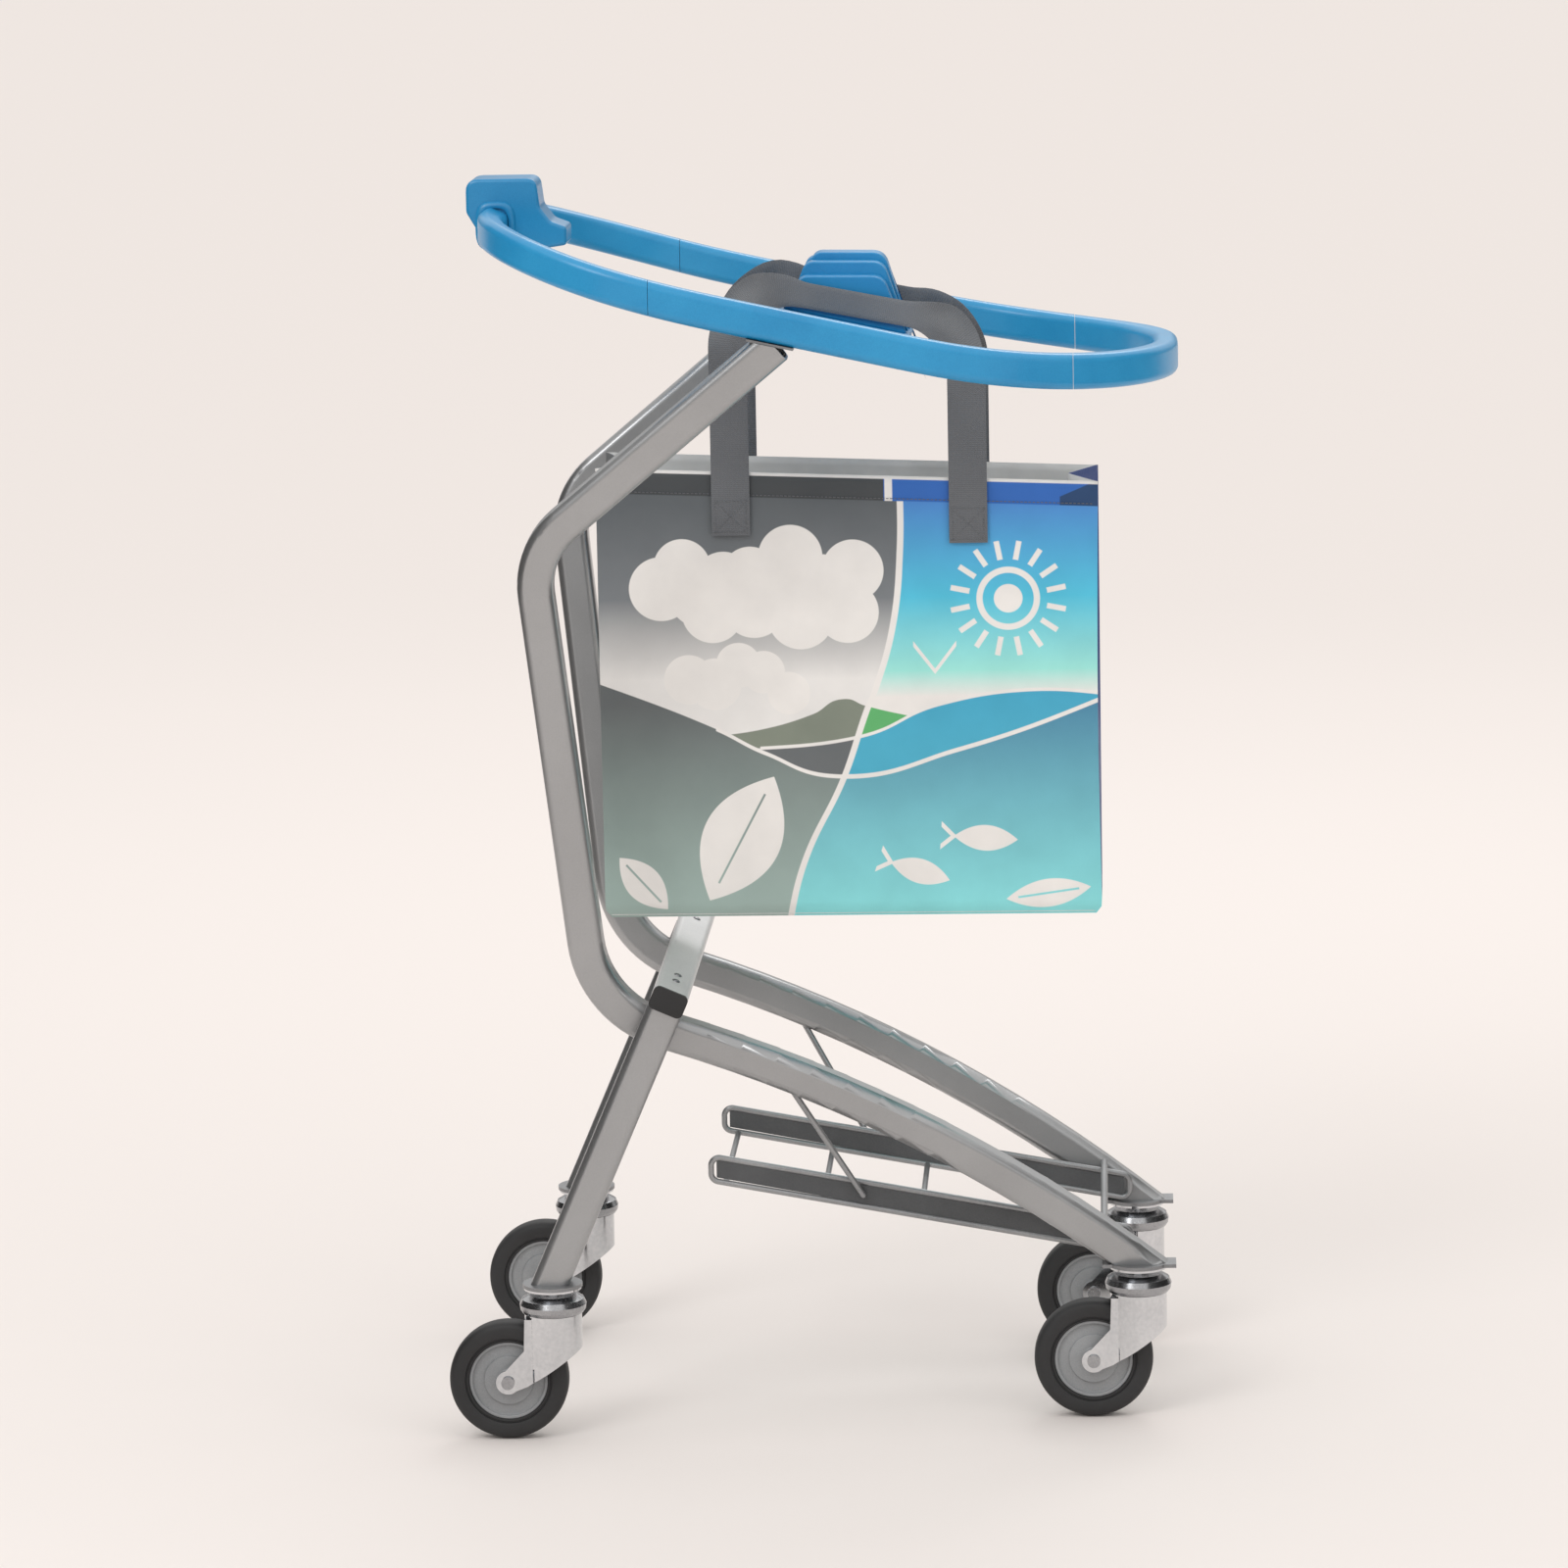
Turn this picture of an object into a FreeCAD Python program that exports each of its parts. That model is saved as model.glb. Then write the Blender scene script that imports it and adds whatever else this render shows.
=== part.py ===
"""Hand-luggage trolley: bent-tube frame on four swivel casters, with a hoop handle,
a hanging carrier bag and a small wire rack.  Millimetres, +Z up, +X forwards (the way
it is pushed), right side at -Y.  The floor is z = 0 and the origin is the middle of
the footprint.  Each node is written to parts/NODE.step."""
import FreeCAD
import Part
import math
import os

Vec = FreeCAD.Vector

# ---- driving dimensions -------------------------------------------------------
# casters
wheel_radius = 50.0
wheel_width = 24.0
tyre_inner_radius = 33.0
trail = 38.0
axle_radius = 4.0
running_gap = 0.05
axle_head_radius = 5.5
axle_head_height = 2.6
hub_face_gap = 1.0
caster_height = 129.0
stem_radius = 6.0
cup_radius = 28.0
crown_radius = 24.0
crown_wall = 2.5
ear_radius = 10.0
neck_radius = 9.5
stem_head_radius = 9.0
top_disc_radius = 24.0
top_disc_thickness = 2.0
race_radius = 22.0
ball_radius = 3.0
ball_circle = 19.5
ball_height = 116.4
ball_count = 12
cheek_inner = 14.0
cheek_outer = 17.0
rear_stem_x = -221.0
rear_stem_y = 178.0
front_stem_x = 268.0
front_stem_y = 117.0

# frame tubes: rounded rectangles, the first size in the plane of the bend
tube_depth = 30.0
tube_width = 25.0
tube_corner = 7.0
tube_wall = 2.0
hoop_half_width = 200.0
plane_foot_z = 129.0
tube_top_z = 918.0
upper_corner = (-223.7, 747.7)
upper_direction = (0.768, 0.640)
top_run = 267.0
upper_bend_radius = 68.0
lower_corner = (-182.6, 357.2)
lower_bend_radius = 92.0
arc_start_run = 64.4
arc_start_angle = -18.0
arc_radius = 1282.0
arc_end_angle = -39.5
foot_plate_thickness = 3.0
foot_plate_radius = 25.0

# rear legs and crossbar
leg_foot = (-222.5, 132.0)
leg_top = (-118.0, 373.0)
crossbar_thickness = 20.0
crossbar_corner = 5.0
end_cap_thickness = 4.0
rivet_places = (-150.0, -126.0, 126.0, 150.0)
rivet_radius = 3.5
rivet_height = 1.6

# hoop handle: a rail whose height follows a side profile
rail_thickness = 21.0
rail_height = 29.0
rail_fillet = 6.5
hoop_nose_x = 309.0
hoop_tail_x = -271.0
nose_corner_radius = 186.0
tail_corner_radius = 135.0
profile_slope = -0.22
profile_mid = (-10.0, 930.6)
profile_straight = (-60.0, 90.0)
profile_radii = (1190.0, 930.0)
tail_seam_x = -121.0
nose_seam_x = 222.0
seam_gap = 0.4
top_plate_x = -23.0
top_plate_half_length = 19.0
top_plate_thickness = 2.0
plate_seat_gap = 0.03
bolt_step = 7.0
bolt_radius = 2.5
bolt_head_radius = 4.5
bolt_reach = 14.0
bolt_proud = 0.6

# handle block
block_half_width = 26.0
block_x = (-285.0, -226.0)
block_top = 1042.0
block_flare_x = -201.0
block_foot_z = 981.0
lid_thickness = 4.0
pocket_depth = 14.0

# bag saddle (hub) between the rails
hub_x = (-22.0, 86.0)
hub_half_width = 60.0
hub_lip_width = 73.0
hub_top = 976.0
hub_lip_rise = 1.0
bridge_x = (0.0, 60.0)
bridge_height = 10.0
base_depth = 4.0
saddle_lobes = ((14.0, 12.0, 0.0), (36.0, 6.0, 6.0), (60.0, 3.0, 16.0))
lobe_rise = (12.0, 5.0)
lobe_crest = 18.0
lobe_back = (28.0, 17.0, 7.0)
lobe_toe = 2.0
saddle_screw_radius = 5.0

# bag
bag_x = (-179.0, 241.0)
bag_half_depth = 60.0
bag_bottom = 418.0
bag_top_rear = 802.0
bag_top_front = 786.0
bag_wall = 2.5
bag_corner = 6.0
board_thickness = 3.0
board_margin = 5.0
strap_width = 32.0
strap_thickness = 2.4
strap_x = (-66.0, 132.5)
strap_sewn_z = 744.0
swing_axis_z = 876.0
strap_gap = 4.0
strap_arch_top = (960.0, 921.0)
strap_arch_radii = [44.0, 34.0]
strap_edge_radius = 0.9

# rack
rack_half_width = 97.0
rack_rear_x = -94.0
rack_front_x = 262.0
rack_rear_z = 210.0
rack_slope = -0.18
rack_height = 26.0
wire_radius = 2.5
rod_radius = 2.5
front_rod_radius = 3.0
panel_thickness = 1.5
rod_steps = (14.5, 97.0, 179.5, 262.0)
stay_top = (-27.0, 296.0)
stay_foot = (37.0, 187.0)

lean = math.atan2(hoop_half_width - front_stem_y, tube_top_z - plane_foot_z)
nodes = {}


# ---- small helpers --------------------------------------------------------------
def block(x0, x1, y0, y1, z0, z1):
    return Part.makeBox(x1 - x0, y1 - y0, z1 - z0, Vec(x0, y0, z0))


def rod(start, end, radius):
    start = Vec(*start)
    end = Vec(*end)
    return Part.makeCylinder(radius, (end - start).Length, start, end - start)


def mirrored(shape):
    return shape.mirror(Vec(0, 0, 0), Vec(0, 1, 0))


def upright(solid):
    """The same solid with its faces pointing outwards."""
    return solid if solid.Volume > 0 else solid.reversed()


def add(name, *solids):
    shape = solids[0] if len(solids) == 1 else Part.makeCompound(list(solids))
    for solid in shape.Solids:
        if not solid.isValid() or solid.Volume <= 0:
            raise ValueError("bad solid in %s: %s" % (name, solid.Volume))
    nodes[name] = shape


def add_pair(name, right_shape):
    add(name + "_right", right_shape)
    add(name + "_left", mirrored(right_shape))


def polygon_prism(points, y0, y1):
    """Prism along Y on an (x, z) outline."""
    outline = [Vec(x, y0, z) for x, z in points]
    face = Part.Face(Part.makePolygon(outline + outline[:1]))
    return face.extrude(Vec(0, y1 - y0, 0))


def rounded_path(points, radii):
    """Wire of straight runs through 3-D points, joined by tangent arcs."""
    edges = []
    here = points[0]
    for before, corner, after, radius in zip(points, points[1:], points[2:], radii):
        back = (before - corner).normalize()
        ahead = (after - corner).normalize()
        half_angle = back.getAngle(ahead) / 2
        run = radius / math.tan(half_angle)
        start = corner + back * run
        end = corner + ahead * run
        bisector = (back + ahead).normalize()
        middle = corner + bisector * (radius / math.sin(half_angle) - radius)
        if (start - here).Length > 1e-6:
            edges.append(Part.LineSegment(here, start).toShape())
        edges.append(Part.Arc(start, middle, end).toShape())
        here = end
    if (points[-1] - here).Length > 1e-6:
        edges.append(Part.LineSegment(here, points[-1]).toShape())
    return edges


def section(at, along, across, depth, width, corner):
    """Rounded rectangle wire centred at a point: width lies on 'across'."""
    across = Vec(across).normalize()
    up = Vec(along).cross(across).normalize()
    half_w = width / 2
    half_d = depth / 2
    corners = [(half_w, half_d), (-half_w, half_d), (-half_w, -half_d), (half_w, -half_d)]
    edges = []
    previous = None
    first = None
    for cx, cy in corners:
        sx = math.copysign(1, cx)
        sy = math.copysign(1, cy)
        centre = (cx - sx * corner, cy - sy * corner)
        turn = math.atan2(sy, sx)
        ends = [turn - math.pi / 4, turn, turn + math.pi / 4]
        arc = [at + across * (centre[0] + corner * math.cos(a))
               + up * (centre[1] + corner * math.sin(a)) for a in ends]
        if previous is not None:
            edges.append(Part.LineSegment(previous, arc[0]).toShape())
        else:
            first = arc[0]
        edges.append(Part.Arc(*arc).toShape())
        previous = arc[2]
    edges.append(Part.LineSegment(previous, first).toShape())
    return Part.Wire(edges)


def sweep(path_edges, profile):
    path = Part.Wire(path_edges)
    return path.makePipeShell([profile], True, False)


def offset_edge(edge, across, distance):
    """The same line or arc, moved sideways in the plane that 'across' is square to."""
    first, last = edge.ParameterRange
    points = []
    for at in (first, (first + last) / 2, last):
        tangent = edge.tangentAt(at).normalize()
        points.append(edge.valueAt(at) + across.cross(tangent) * distance)
    if edge.Curve.TypeId == "Part::GeomLine":
        return points, Part.LineSegment(points[0], points[2]).toShape()
    return points, Part.Arc(*points).toShape()


def bar(path_edges, across, depth, width, corner):
    """Solid bar along a flat path, with its four long edges rounded."""
    across = Vec(across).normalize()
    left = [offset_edge(e, across, depth / 2) for e in path_edges]
    right = [offset_edge(e, across, -depth / 2) for e in path_edges]
    start = Part.LineSegment(right[0][0][0], left[0][0][0]).toShape()
    end = Part.LineSegment(left[-1][0][2], right[-1][0][2]).toShape()
    wire = Part.Wire([start] + [e for _, e in left] + [end] + [e for _, e in reversed(right)])
    wire.translate(across * (-width / 2))
    solid = upright(Part.Face(wire).extrude(across * width))
    caps = [(path_edges[0], 0), (path_edges[-1], 1)]
    planes = []
    for edge, side in caps:
        at = edge.ParameterRange[side]
        planes.append((edge.valueAt(at), edge.tangentAt(at).normalize()))
    long_edges = []
    for edge in solid.Edges:
        first, last = edge.ParameterRange
        middle = edge.valueAt((first + last) / 2)
        crosswise = abs(edge.tangentAt((first + last) / 2).dot(across)) > 0.99
        if not crosswise and all(abs((middle - at).dot(along)) > 1e-3 for at, along in planes):
            long_edges.append(edge)
    return solid.makeFillet(corner, long_edges)


def tube(path_edges, across):
    """Hollow rounded tube along a flat path."""
    outer = bar(path_edges, across, tube_depth, tube_width, tube_corner)
    inner = bar(path_edges, across, tube_depth - 2 * tube_wall, tube_width - 2 * tube_wall,
                tube_corner - tube_wall)
    return outer, inner


# ---- hoop profile ---------------------------------------------------------------
def profile_z(x):
    """Height of the middle of the hoop rail at x: straight, curving up at both ends."""
    rear, front = profile_straight
    z = profile_mid[1] + profile_slope * (x - profile_mid[0])
    z += max(rear - x, 0) ** 2 / (2 * profile_radii[0])
    return z + max(x - front, 0) ** 2 / (2 * profile_radii[1])


def profile_band(low, high, x0, x1, half_width):
    """Solid between two offsets of the side profile, right across the trolley."""
    count = 16
    xs = [x0 + (x1 - x0) * i / count for i in range(count + 1)]
    lower = Part.BSplineCurve()
    lower.interpolate([Vec(x, -half_width, profile_z(x) + low) for x in xs])
    upper = Part.BSplineCurve()
    upper.interpolate([Vec(x, -half_width, profile_z(x) + high) for x in xs])
    front = Part.LineSegment(Vec(x1, -half_width, profile_z(x1) + low),
                             Vec(x1, -half_width, profile_z(x1) + high)).toShape()
    rear = Part.LineSegment(Vec(x0, -half_width, profile_z(x0) + high),
                            Vec(x0, -half_width, profile_z(x0) + low)).toShape()
    wire = Part.Wire([lower.toShape(), front, upper.toShape(), rear])
    return upright(Part.Face(wire).extrude(Vec(0, 2 * half_width, 0)))


def plan_outline(inset):
    """Plan of the hoop: straight sides, big corners at the nose and the tail."""
    half = hoop_half_width + rail_thickness / 2 - inset
    nose = hoop_nose_x - inset
    tail = hoop_tail_x + inset
    nose_r = nose_corner_radius + rail_thickness / 2 - inset
    tail_r = tail_corner_radius + rail_thickness / 2 - inset
    corners = [(nose, -half, nose_r), (nose, half, nose_r), (tail, half, tail_r),
               (tail, -half, tail_r)]
    points = [Vec(0, -half, 0)] + [Vec(x, y, 0) for x, y, _ in corners] + [Vec(0, -half, 0)]
    return Part.Wire(rounded_path(points, [r for _, _, r in corners]))


def make_hoop():
    outer = Part.Face(plan_outline(0)).extrude(Vec(0, 0, 400))
    inner = Part.Face(plan_outline(rail_thickness)).extrude(Vec(0, 0, 400))
    ring = outer.cut(inner)
    ring.translate(Vec(0, 0, 750))
    half = rail_height / 2
    band = profile_band(-half, half, hoop_tail_x - 5, hoop_nose_x + 5,
                        hoop_half_width + 20)
    ring = ring.common(band)
    ring = ring.Solids[0]
    long_edges = [e for e in ring.Edges if e.Length > 40]
    return ring.makeFillet(rail_fillet, long_edges)


def cut_hoop(hoop):
    """Part the moulded hoop at its seams: nose, two side rails, two tails."""
    far = 400
    pieces = {}
    gap = seam_gap / 2
    pieces["hoop_nose"] = hoop.common(block(nose_seam_x + gap, far, -far, far, 700, 1200))
    side = hoop.common(block(tail_seam_x + gap, nose_seam_x - gap, -far, 0, 700, 1200))
    pieces["hoop_rail_right"] = side
    tail = hoop.common(block(-far, tail_seam_x - gap, -far, 0, 700, 1200))
    pieces["hoop_tail_right"] = tail.cut(block(-far, 0, -block_half_width + 9, 0, 700, 1200))
    return pieces


# ---- side tubes -----------------------------------------------------------------
def lean_y(z):
    """Y of the middle of the right tube at a height."""
    return -front_stem_y - (z - plane_foot_z) * math.tan(lean)


def in_plane(x, z):
    """Point of the side view, measured along the tube's leaning plane."""
    return Vec(x, 0, plane_foot_z + (z - plane_foot_z) / math.cos(lean))


def arc_edge(start, start_angle, end_angle, radius):
    """Downward arc in the XZ plane; angles are those of its direction, in degrees."""
    first = math.radians(start_angle)
    centre = start + Vec(math.sin(first), 0, -math.cos(first)) * radius
    points = []
    for angle in (start_angle, (start_angle + end_angle) / 2, end_angle):
        a = math.radians(angle)
        points.append(centre - Vec(math.sin(a), 0, -math.cos(a)) * radius)
    return Part.Arc(*points).toShape()


def side_path():
    first = math.radians(arc_start_angle)
    corner = in_plane(*upper_corner)
    foot_corner = in_plane(*lower_corner)
    top = corner + Vec(upper_direction[0], 0, upper_direction[1]) * top_run
    arc_start = foot_corner + Vec(math.cos(first), 0, math.sin(first)) * arc_start_run
    edges = rounded_path([top, corner, foot_corner, arc_start],
                         [upper_bend_radius, lower_bend_radius])
    edges.append(arc_edge(arc_start, arc_start_angle, arc_end_angle, arc_radius))
    return edges


def make_side_tube():
    outer, inner = tube(side_path(), Vec(0, 1, 0))
    for solid in (outer, inner):
        solid.rotate(Vec(0, 0, plane_foot_z), Vec(1, 0, 0), math.degrees(lean))
        solid.translate(Vec(0, -front_stem_y, 0))
    top_cut = profile_band(-rail_height / 2 - top_plate_thickness, 300, -120, 150, 300)
    foot_cut = block(100, 400, -300, 0, 0, caster_height + foot_plate_thickness)
    outer = outer.cut(top_cut).cut(foot_cut)
    hollow = outer.cut(inner)
    return outer, hollow.Solids[0]


# ---- casters --------------------------------------------------------------------
def caster(prefix, x, y):
    top = caster_height
    axle_x = x - trail
    stem = rod((x, y, 96), (x, y, top), stem_radius)
    neck = rod((x, y, 119.5), (x, y, top), neck_radius)
    head = rod((x, y, 95.7), (x, y, 101.2), stem_head_radius)
    disc = rod((x, y, top - top_disc_thickness), (x, y, top), top_disc_radius)
    add(prefix + "_stem", stem.fuse(neck).fuse(head).fuse(disc).removeSplitter())

    below = polygon_prism([(x + crown_radius + 1, 30), (x + crown_radius + 1, 78.3),
                           (x - 21.5, 46.5), (x - 33, 42), (x - 60, 30)], y - 40, y + 40)
    crown = rod((x, y, 40), (x, y, 104), crown_radius)
    crown = crown.cut(rod((x, y, 39), (x, y, 101.5), crown_radius - crown_wall)).cut(below)
    cheek_points = [(x - 8, 104), (x - 8, 55.5), (x - 21.5, 46.5), (x - 33, 42),
                    (x - 45, 54.5), (x - crown_radius, 77), (x - crown_radius + 1, 104)]
    cheeks = polygon_prism(cheek_points, y - cheek_outer, y + cheek_outer)
    ear = rod((axle_x, y - cheek_outer, 50), (axle_x, y + cheek_outer, 50), ear_radius)
    shell = crown.fuse(cheeks).fuse(ear)
    shell = shell.cut(block(x - 80, x + 16, y - cheek_inner, y + cheek_inner, 30, 101.5))
    lid = rod((x, y, 101.5), (x, y, 106.5), crown_radius)
    race = rod((x, y, 106.5), (x, y, 113), race_radius)
    fork = shell.fuse(lid).fuse(race)
    fork = fork.cut(rod((x, y, 80), (x, y, 130), stem_radius + running_gap))
    fork = fork.cut(rod((axle_x, y - 30, 50), (axle_x, y + 30, 50), axle_radius))
    add(prefix + "_fork", fork.removeSplitter().Solids[0])

    near = y - cheek_outer
    far = y + cheek_outer
    axle = rod((axle_x, near, 50), (axle_x, far, 50), axle_radius)
    head = rod((axle_x, near - axle_head_height, 50), (axle_x, near, 50), axle_head_radius)
    tail = rod((axle_x, far, 50), (axle_x, far + axle_head_height, 50), axle_head_radius)
    add(prefix + "_axle", axle.fuse(head).fuse(tail).removeSplitter())

    half = wheel_width / 2
    bore = axle_radius + running_gap
    hub_outline = [(bore, half + hub_face_gap),
                   (9.5, half + hub_face_gap), (9.5, half - 2), (21, half - 3.5),
                   (21, half - 5.5), (30, half - 5.5), (30.5, half - 3),
                   (tyre_inner_radius, half - 3)]
    add(prefix + "_hub", revolved(axle_x, y, hub_outline))
    tread = [(tyre_inner_radius, half - 2), (36, half - 0.5), (42, half),
             (47, half - 1.2), (49.3, half - 4.5), (wheel_radius, half - 8)]
    add(prefix + "_tyre", revolved(axle_x, y, tread))


def revolved(x, y, half_outline):
    """Wheel part about the Y axis: (radius, half width) points, both sides alike."""
    right = [Vec(x + r, y + w, 50) for r, w in half_outline]
    left = [Vec(x + r, y - w, 50) for r, w in reversed(half_outline)]
    loop = right + left
    face = Part.Face(Part.makePolygon(loop + loop[:1]))
    return face.revolve(Vec(x, y, 50), Vec(0, 1, 0), 360)


def swivel_cup(x, y):
    """Pressed dust cap with the upper ball race, fixed on the stem."""
    outline = [(9.5, 122.5), (20, 122.5), (26, 119), (cup_radius, 114.5), (27.4, 110),
               (25.5, 107.2), (24, 107.2), (25.6, 111), (26, 114.5), (24, 118),
               (19, 120), (9.5, 120)]
    points = [Vec(x + r, y, z) for r, z in outline]
    face = Part.Face(Part.makePolygon(points + points[:1]))
    return face.revolve(Vec(x, y, 0), Vec(0, 0, 1), 360)


def ball_ring(x, y):
    balls = []
    for i in range(ball_count):
        angle = 2 * math.pi * i / ball_count
        centre = Vec(x + ball_circle * math.cos(angle), y + ball_circle * math.sin(angle),
                     ball_height)
        balls.append(Part.makeSphere(ball_radius, centre))
    return balls


# ---- build ----------------------------------------------------------------------
def make_frame():
    outer, hollow = make_side_tube()
    add_pair("side_tube", hollow)

    foot_z = caster_height + foot_plate_thickness
    axis = Vec(leg_top[0] - leg_foot[0], 0, leg_top[1] - leg_foot[1]).normalize()
    leg_start = Vec(leg_foot[0], -rear_stem_y, leg_foot[1]) - axis * 30
    leg_end = Vec(leg_top[0], -rear_stem_y, leg_top[1]) - axis * (crossbar_thickness / 2)
    outside, inside = tube([Part.LineSegment(leg_start, leg_end).toShape()], Vec(0, 1, 0))
    leg = outside.cut(inside).cut(block(-400, 0, -300, 0, 0, foot_z))
    add_pair("rear_leg", leg.Solids[0])

    reach = rear_stem_y + tube_width / 2
    bar_centre = Vec(leg_top[0], -reach, leg_top[1])
    bar_axis = Vec(0, 1, 0)
    bar_profile = section(bar_centre, bar_axis, axis, tube_depth, crossbar_thickness,
                          crossbar_corner)
    hollow_profile = section(bar_centre, bar_axis, axis, tube_depth - 2 * tube_wall,
                             crossbar_thickness - 2 * tube_wall,
                             crossbar_corner - tube_wall)
    bar_path = [Part.LineSegment(bar_centre, bar_centre + bar_axis * 2 * reach).toShape()]
    bar = sweep(bar_path, bar_profile).cut(sweep(bar_path, hollow_profile))
    bar = bar.cut(outer).cut(mirrored(outer))
    add("rear_crossbar", max(bar.Solids, key=lambda s: s.Volume))
    cap = sweep([Part.LineSegment(bar_centre, bar_centre - bar_axis * end_cap_thickness).toShape()],
                bar_profile)
    add("crossbar_end_caps", cap, mirrored(cap))
    rivets = []
    rivet_base = Vec(leg_top[0], 0, leg_top[1]) + axis * (crossbar_thickness / 2)
    for y in rivet_places:
        base = rivet_base + Vec(0, y, 0)
        rivets.append(Part.makeCylinder(rivet_radius, rivet_height, base, axis))
    add("crossbar_rivets", *rivets)

    for name, x, y in (("rear", rear_stem_x, rear_stem_y), ("front", front_stem_x, front_stem_y)):
        plate = rod((x, -y, caster_height), (x, -y, foot_z), foot_plate_radius)
        if name == "front":
            tongue = block(x - 30, x + 32, -y - tube_width / 2, -y + tube_width / 2,
                           caster_height, foot_z)
            plate = plate.fuse(tongue).removeSplitter()
        add(name + "_foot_plates", plate, mirrored(plate))


def make_handle():
    hoop = make_hoop()
    bolts = []
    x = top_plate_x
    thickness = top_plate_thickness
    reach = top_plate_half_length
    half = rail_height / 2
    plate = profile_band(-half - thickness, -half - plate_seat_gap, x - reach, x + reach, 400)
    plate = plate.common(block(x - reach, x + reach, -hoop_half_width - 10, -hoop_half_width + 10,
                               700, 1100))
    plates = [plate, mirrored(plate)]
    for side in (-1, 1):
        for step in (-bolt_step, bolt_step):
            at = x + step
            low = profile_z(at) - half - thickness - bolt_proud
            y = side * hoop_half_width
            screw = rod((at, y, low), (at, y, low + thickness), bolt_head_radius)
            screw = screw.fuse(rod((at, y, low), (at, y, low + bolt_reach), bolt_radius))
            bolts.append(screw.removeSplitter())
    holes = Part.makeCompound(bolts)
    add("tube_top_plates", *[p.cut(holes) for p in plates])
    add("hoop_bolts", *bolts)
    hoop = hoop.cut(holes)
    pieces = cut_hoop(hoop)
    add("hoop_nose", pieces["hoop_nose"].Solids[0])
    add_pair("hoop_rail", pieces["hoop_rail_right"].Solids[0])
    tail = max(pieces["hoop_tail_right"].Solids, key=lambda s: s.Volume)
    add_pair("hoop_tail", tail)

    x0, x1 = block_x
    half_w = block_half_width
    flare = block_flare_x
    foot = block_foot_z
    body_points = [(x0, block_top), (x1, block_top), (x1 + 2, 1022), (x1 + 6, 1012),
                   (x1 + 14, 1005), (flare, 1001), (flare, foot + 5), (x1 - 8, foot),
                   (x0 + 26, foot + 3), (x0 + 14, 997), (x0, 1013)]
    body = polygon_prism(body_points, -half_w, half_w)
    body = body.cut(tails())
    lid_z = block_top - lid_thickness
    lid = body.common(block(x0 - 1, x1 + 1, -100, 100, lid_z, block_top + 1))
    body = body.cut(block(x0 - 1, x1 + 1, -100, 100, lid_z, block_top + 1))
    pocket = block(x0 + 6, x1 - 5, -half_w + 5, half_w - 5, lid_z - pocket_depth, lid_z)
    add("handle_block", body.cut(pocket).Solids[0])
    add("handle_block_lid", lid.Solids[0])


def tails():
    tail = nodes["hoop_tail_right"]
    return Part.makeCompound([tail, mirrored(tail)])


def make_saddle():
    x0, x1 = hub_x
    lip = hub_lip_rise
    base = profile_band(-base_depth, lip, x0, x1, hub_lip_width)
    add("saddle_base", base.Solids[0])
    bridge = profile_band(-base_depth - bridge_height, -base_depth, bridge_x[0], bridge_x[1],
                          hoop_half_width - rail_thickness / 2)
    add("saddle_bridge", bridge.Solids[0])
    lobes = []
    inner = 0.0
    for outer, setback, drop in saddle_lobes:
        low = x0 + setback
        top = hub_top - drop
        points = [(low, profile_z(low) + lip), (low + lobe_rise[0], top - lobe_rise[1]),
                  (low + lobe_crest, top), (x1 - lobe_back[0], top),
                  (x1 - lobe_back[1], top - lobe_back[2]),
                  (x1 - lobe_toe, profile_z(x1) + lip)]
        if inner == 0:
            lobes.append(polygon_prism(points, -outer, outer))
        else:
            lobes.append(polygon_prism(points, -outer, -inner))
            lobes.append(polygon_prism(points, inner, outer))
        inner = outer
    hump = lobes[0].multiFuse(lobes[1:]).removeSplitter()
    hump = hump.cut(base)
    add("saddle_hump", hump.Solids[0])
    screws = []
    for x in (bridge_x[0] + 14, bridge_x[1] - 14):
        for y in (-45, 45):
            z = profile_z(x) - base_depth - bridge_height
            screws.append(rod((x, y, z - 4), (x, y, z - 1.2), saddle_screw_radius))
    add("saddle_screws", *screws)


def strap_arch(side):
    """Upper part of a webbing handle: round over both ends of the hub."""
    y = side * (hub_half_width + 4)
    left, right = strap_x
    level = swing_axis_z + strap_gap
    top_left = Vec(left, y, strap_arch_top[0])
    top_right = Vec(right, y, strap_arch_top[1])
    points = [Vec(left, y, level), top_left, top_right, Vec(right, y, level)]
    edges = rounded_path(points, strap_arch_radii)
    profile = section(points[0], Vec(0, 0, 1), Vec(0, 1, 0), strap_width, strap_thickness,
                      strap_edge_radius)
    return sweep(edges, profile)


def make_bag():
    x0, x1 = bag_x
    half = bag_half_depth
    outline = [(x0, bag_bottom), (x1, bag_bottom), (x1, bag_top_front), (x0, bag_top_rear)]
    shell = polygon_prism(outline, -half, half)
    upright = [e for e in shell.Edges if abs(e.Vertexes[0].X - e.Vertexes[1].X) < 1e-6
               and abs(e.Vertexes[0].Y - e.Vertexes[1].Y) < 1e-6]
    shell = shell.makeFillet(bag_corner, upright)
    inner = block(x0 + bag_wall, x1 - bag_wall, -half + bag_wall, half - bag_wall,
                  bag_bottom + bag_wall, 900)
    add("bag_shell", shell.cut(inner))
    margin = board_margin
    board = block(x0 + margin, x1 - margin, -half + margin, half - margin,
                  bag_bottom + bag_wall, bag_bottom + bag_wall + board_thickness)
    add("bag_base_board", board)
    for side, name in ((-1, "right"), (1, "left")):
        y = side * (half + strap_thickness / 2)
        level = swing_axis_z - strap_gap
        pair = []
        for x in strap_x:
            low = block(x - strap_width / 2, x + strap_width / 2, y - strap_thickness / 2,
                        y + strap_thickness / 2, strap_sewn_z, level)
            pair.append(low)
        add("bag_strap_legs_" + name, *pair)
        add("bag_strap_arch_" + name, strap_arch(side))


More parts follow.
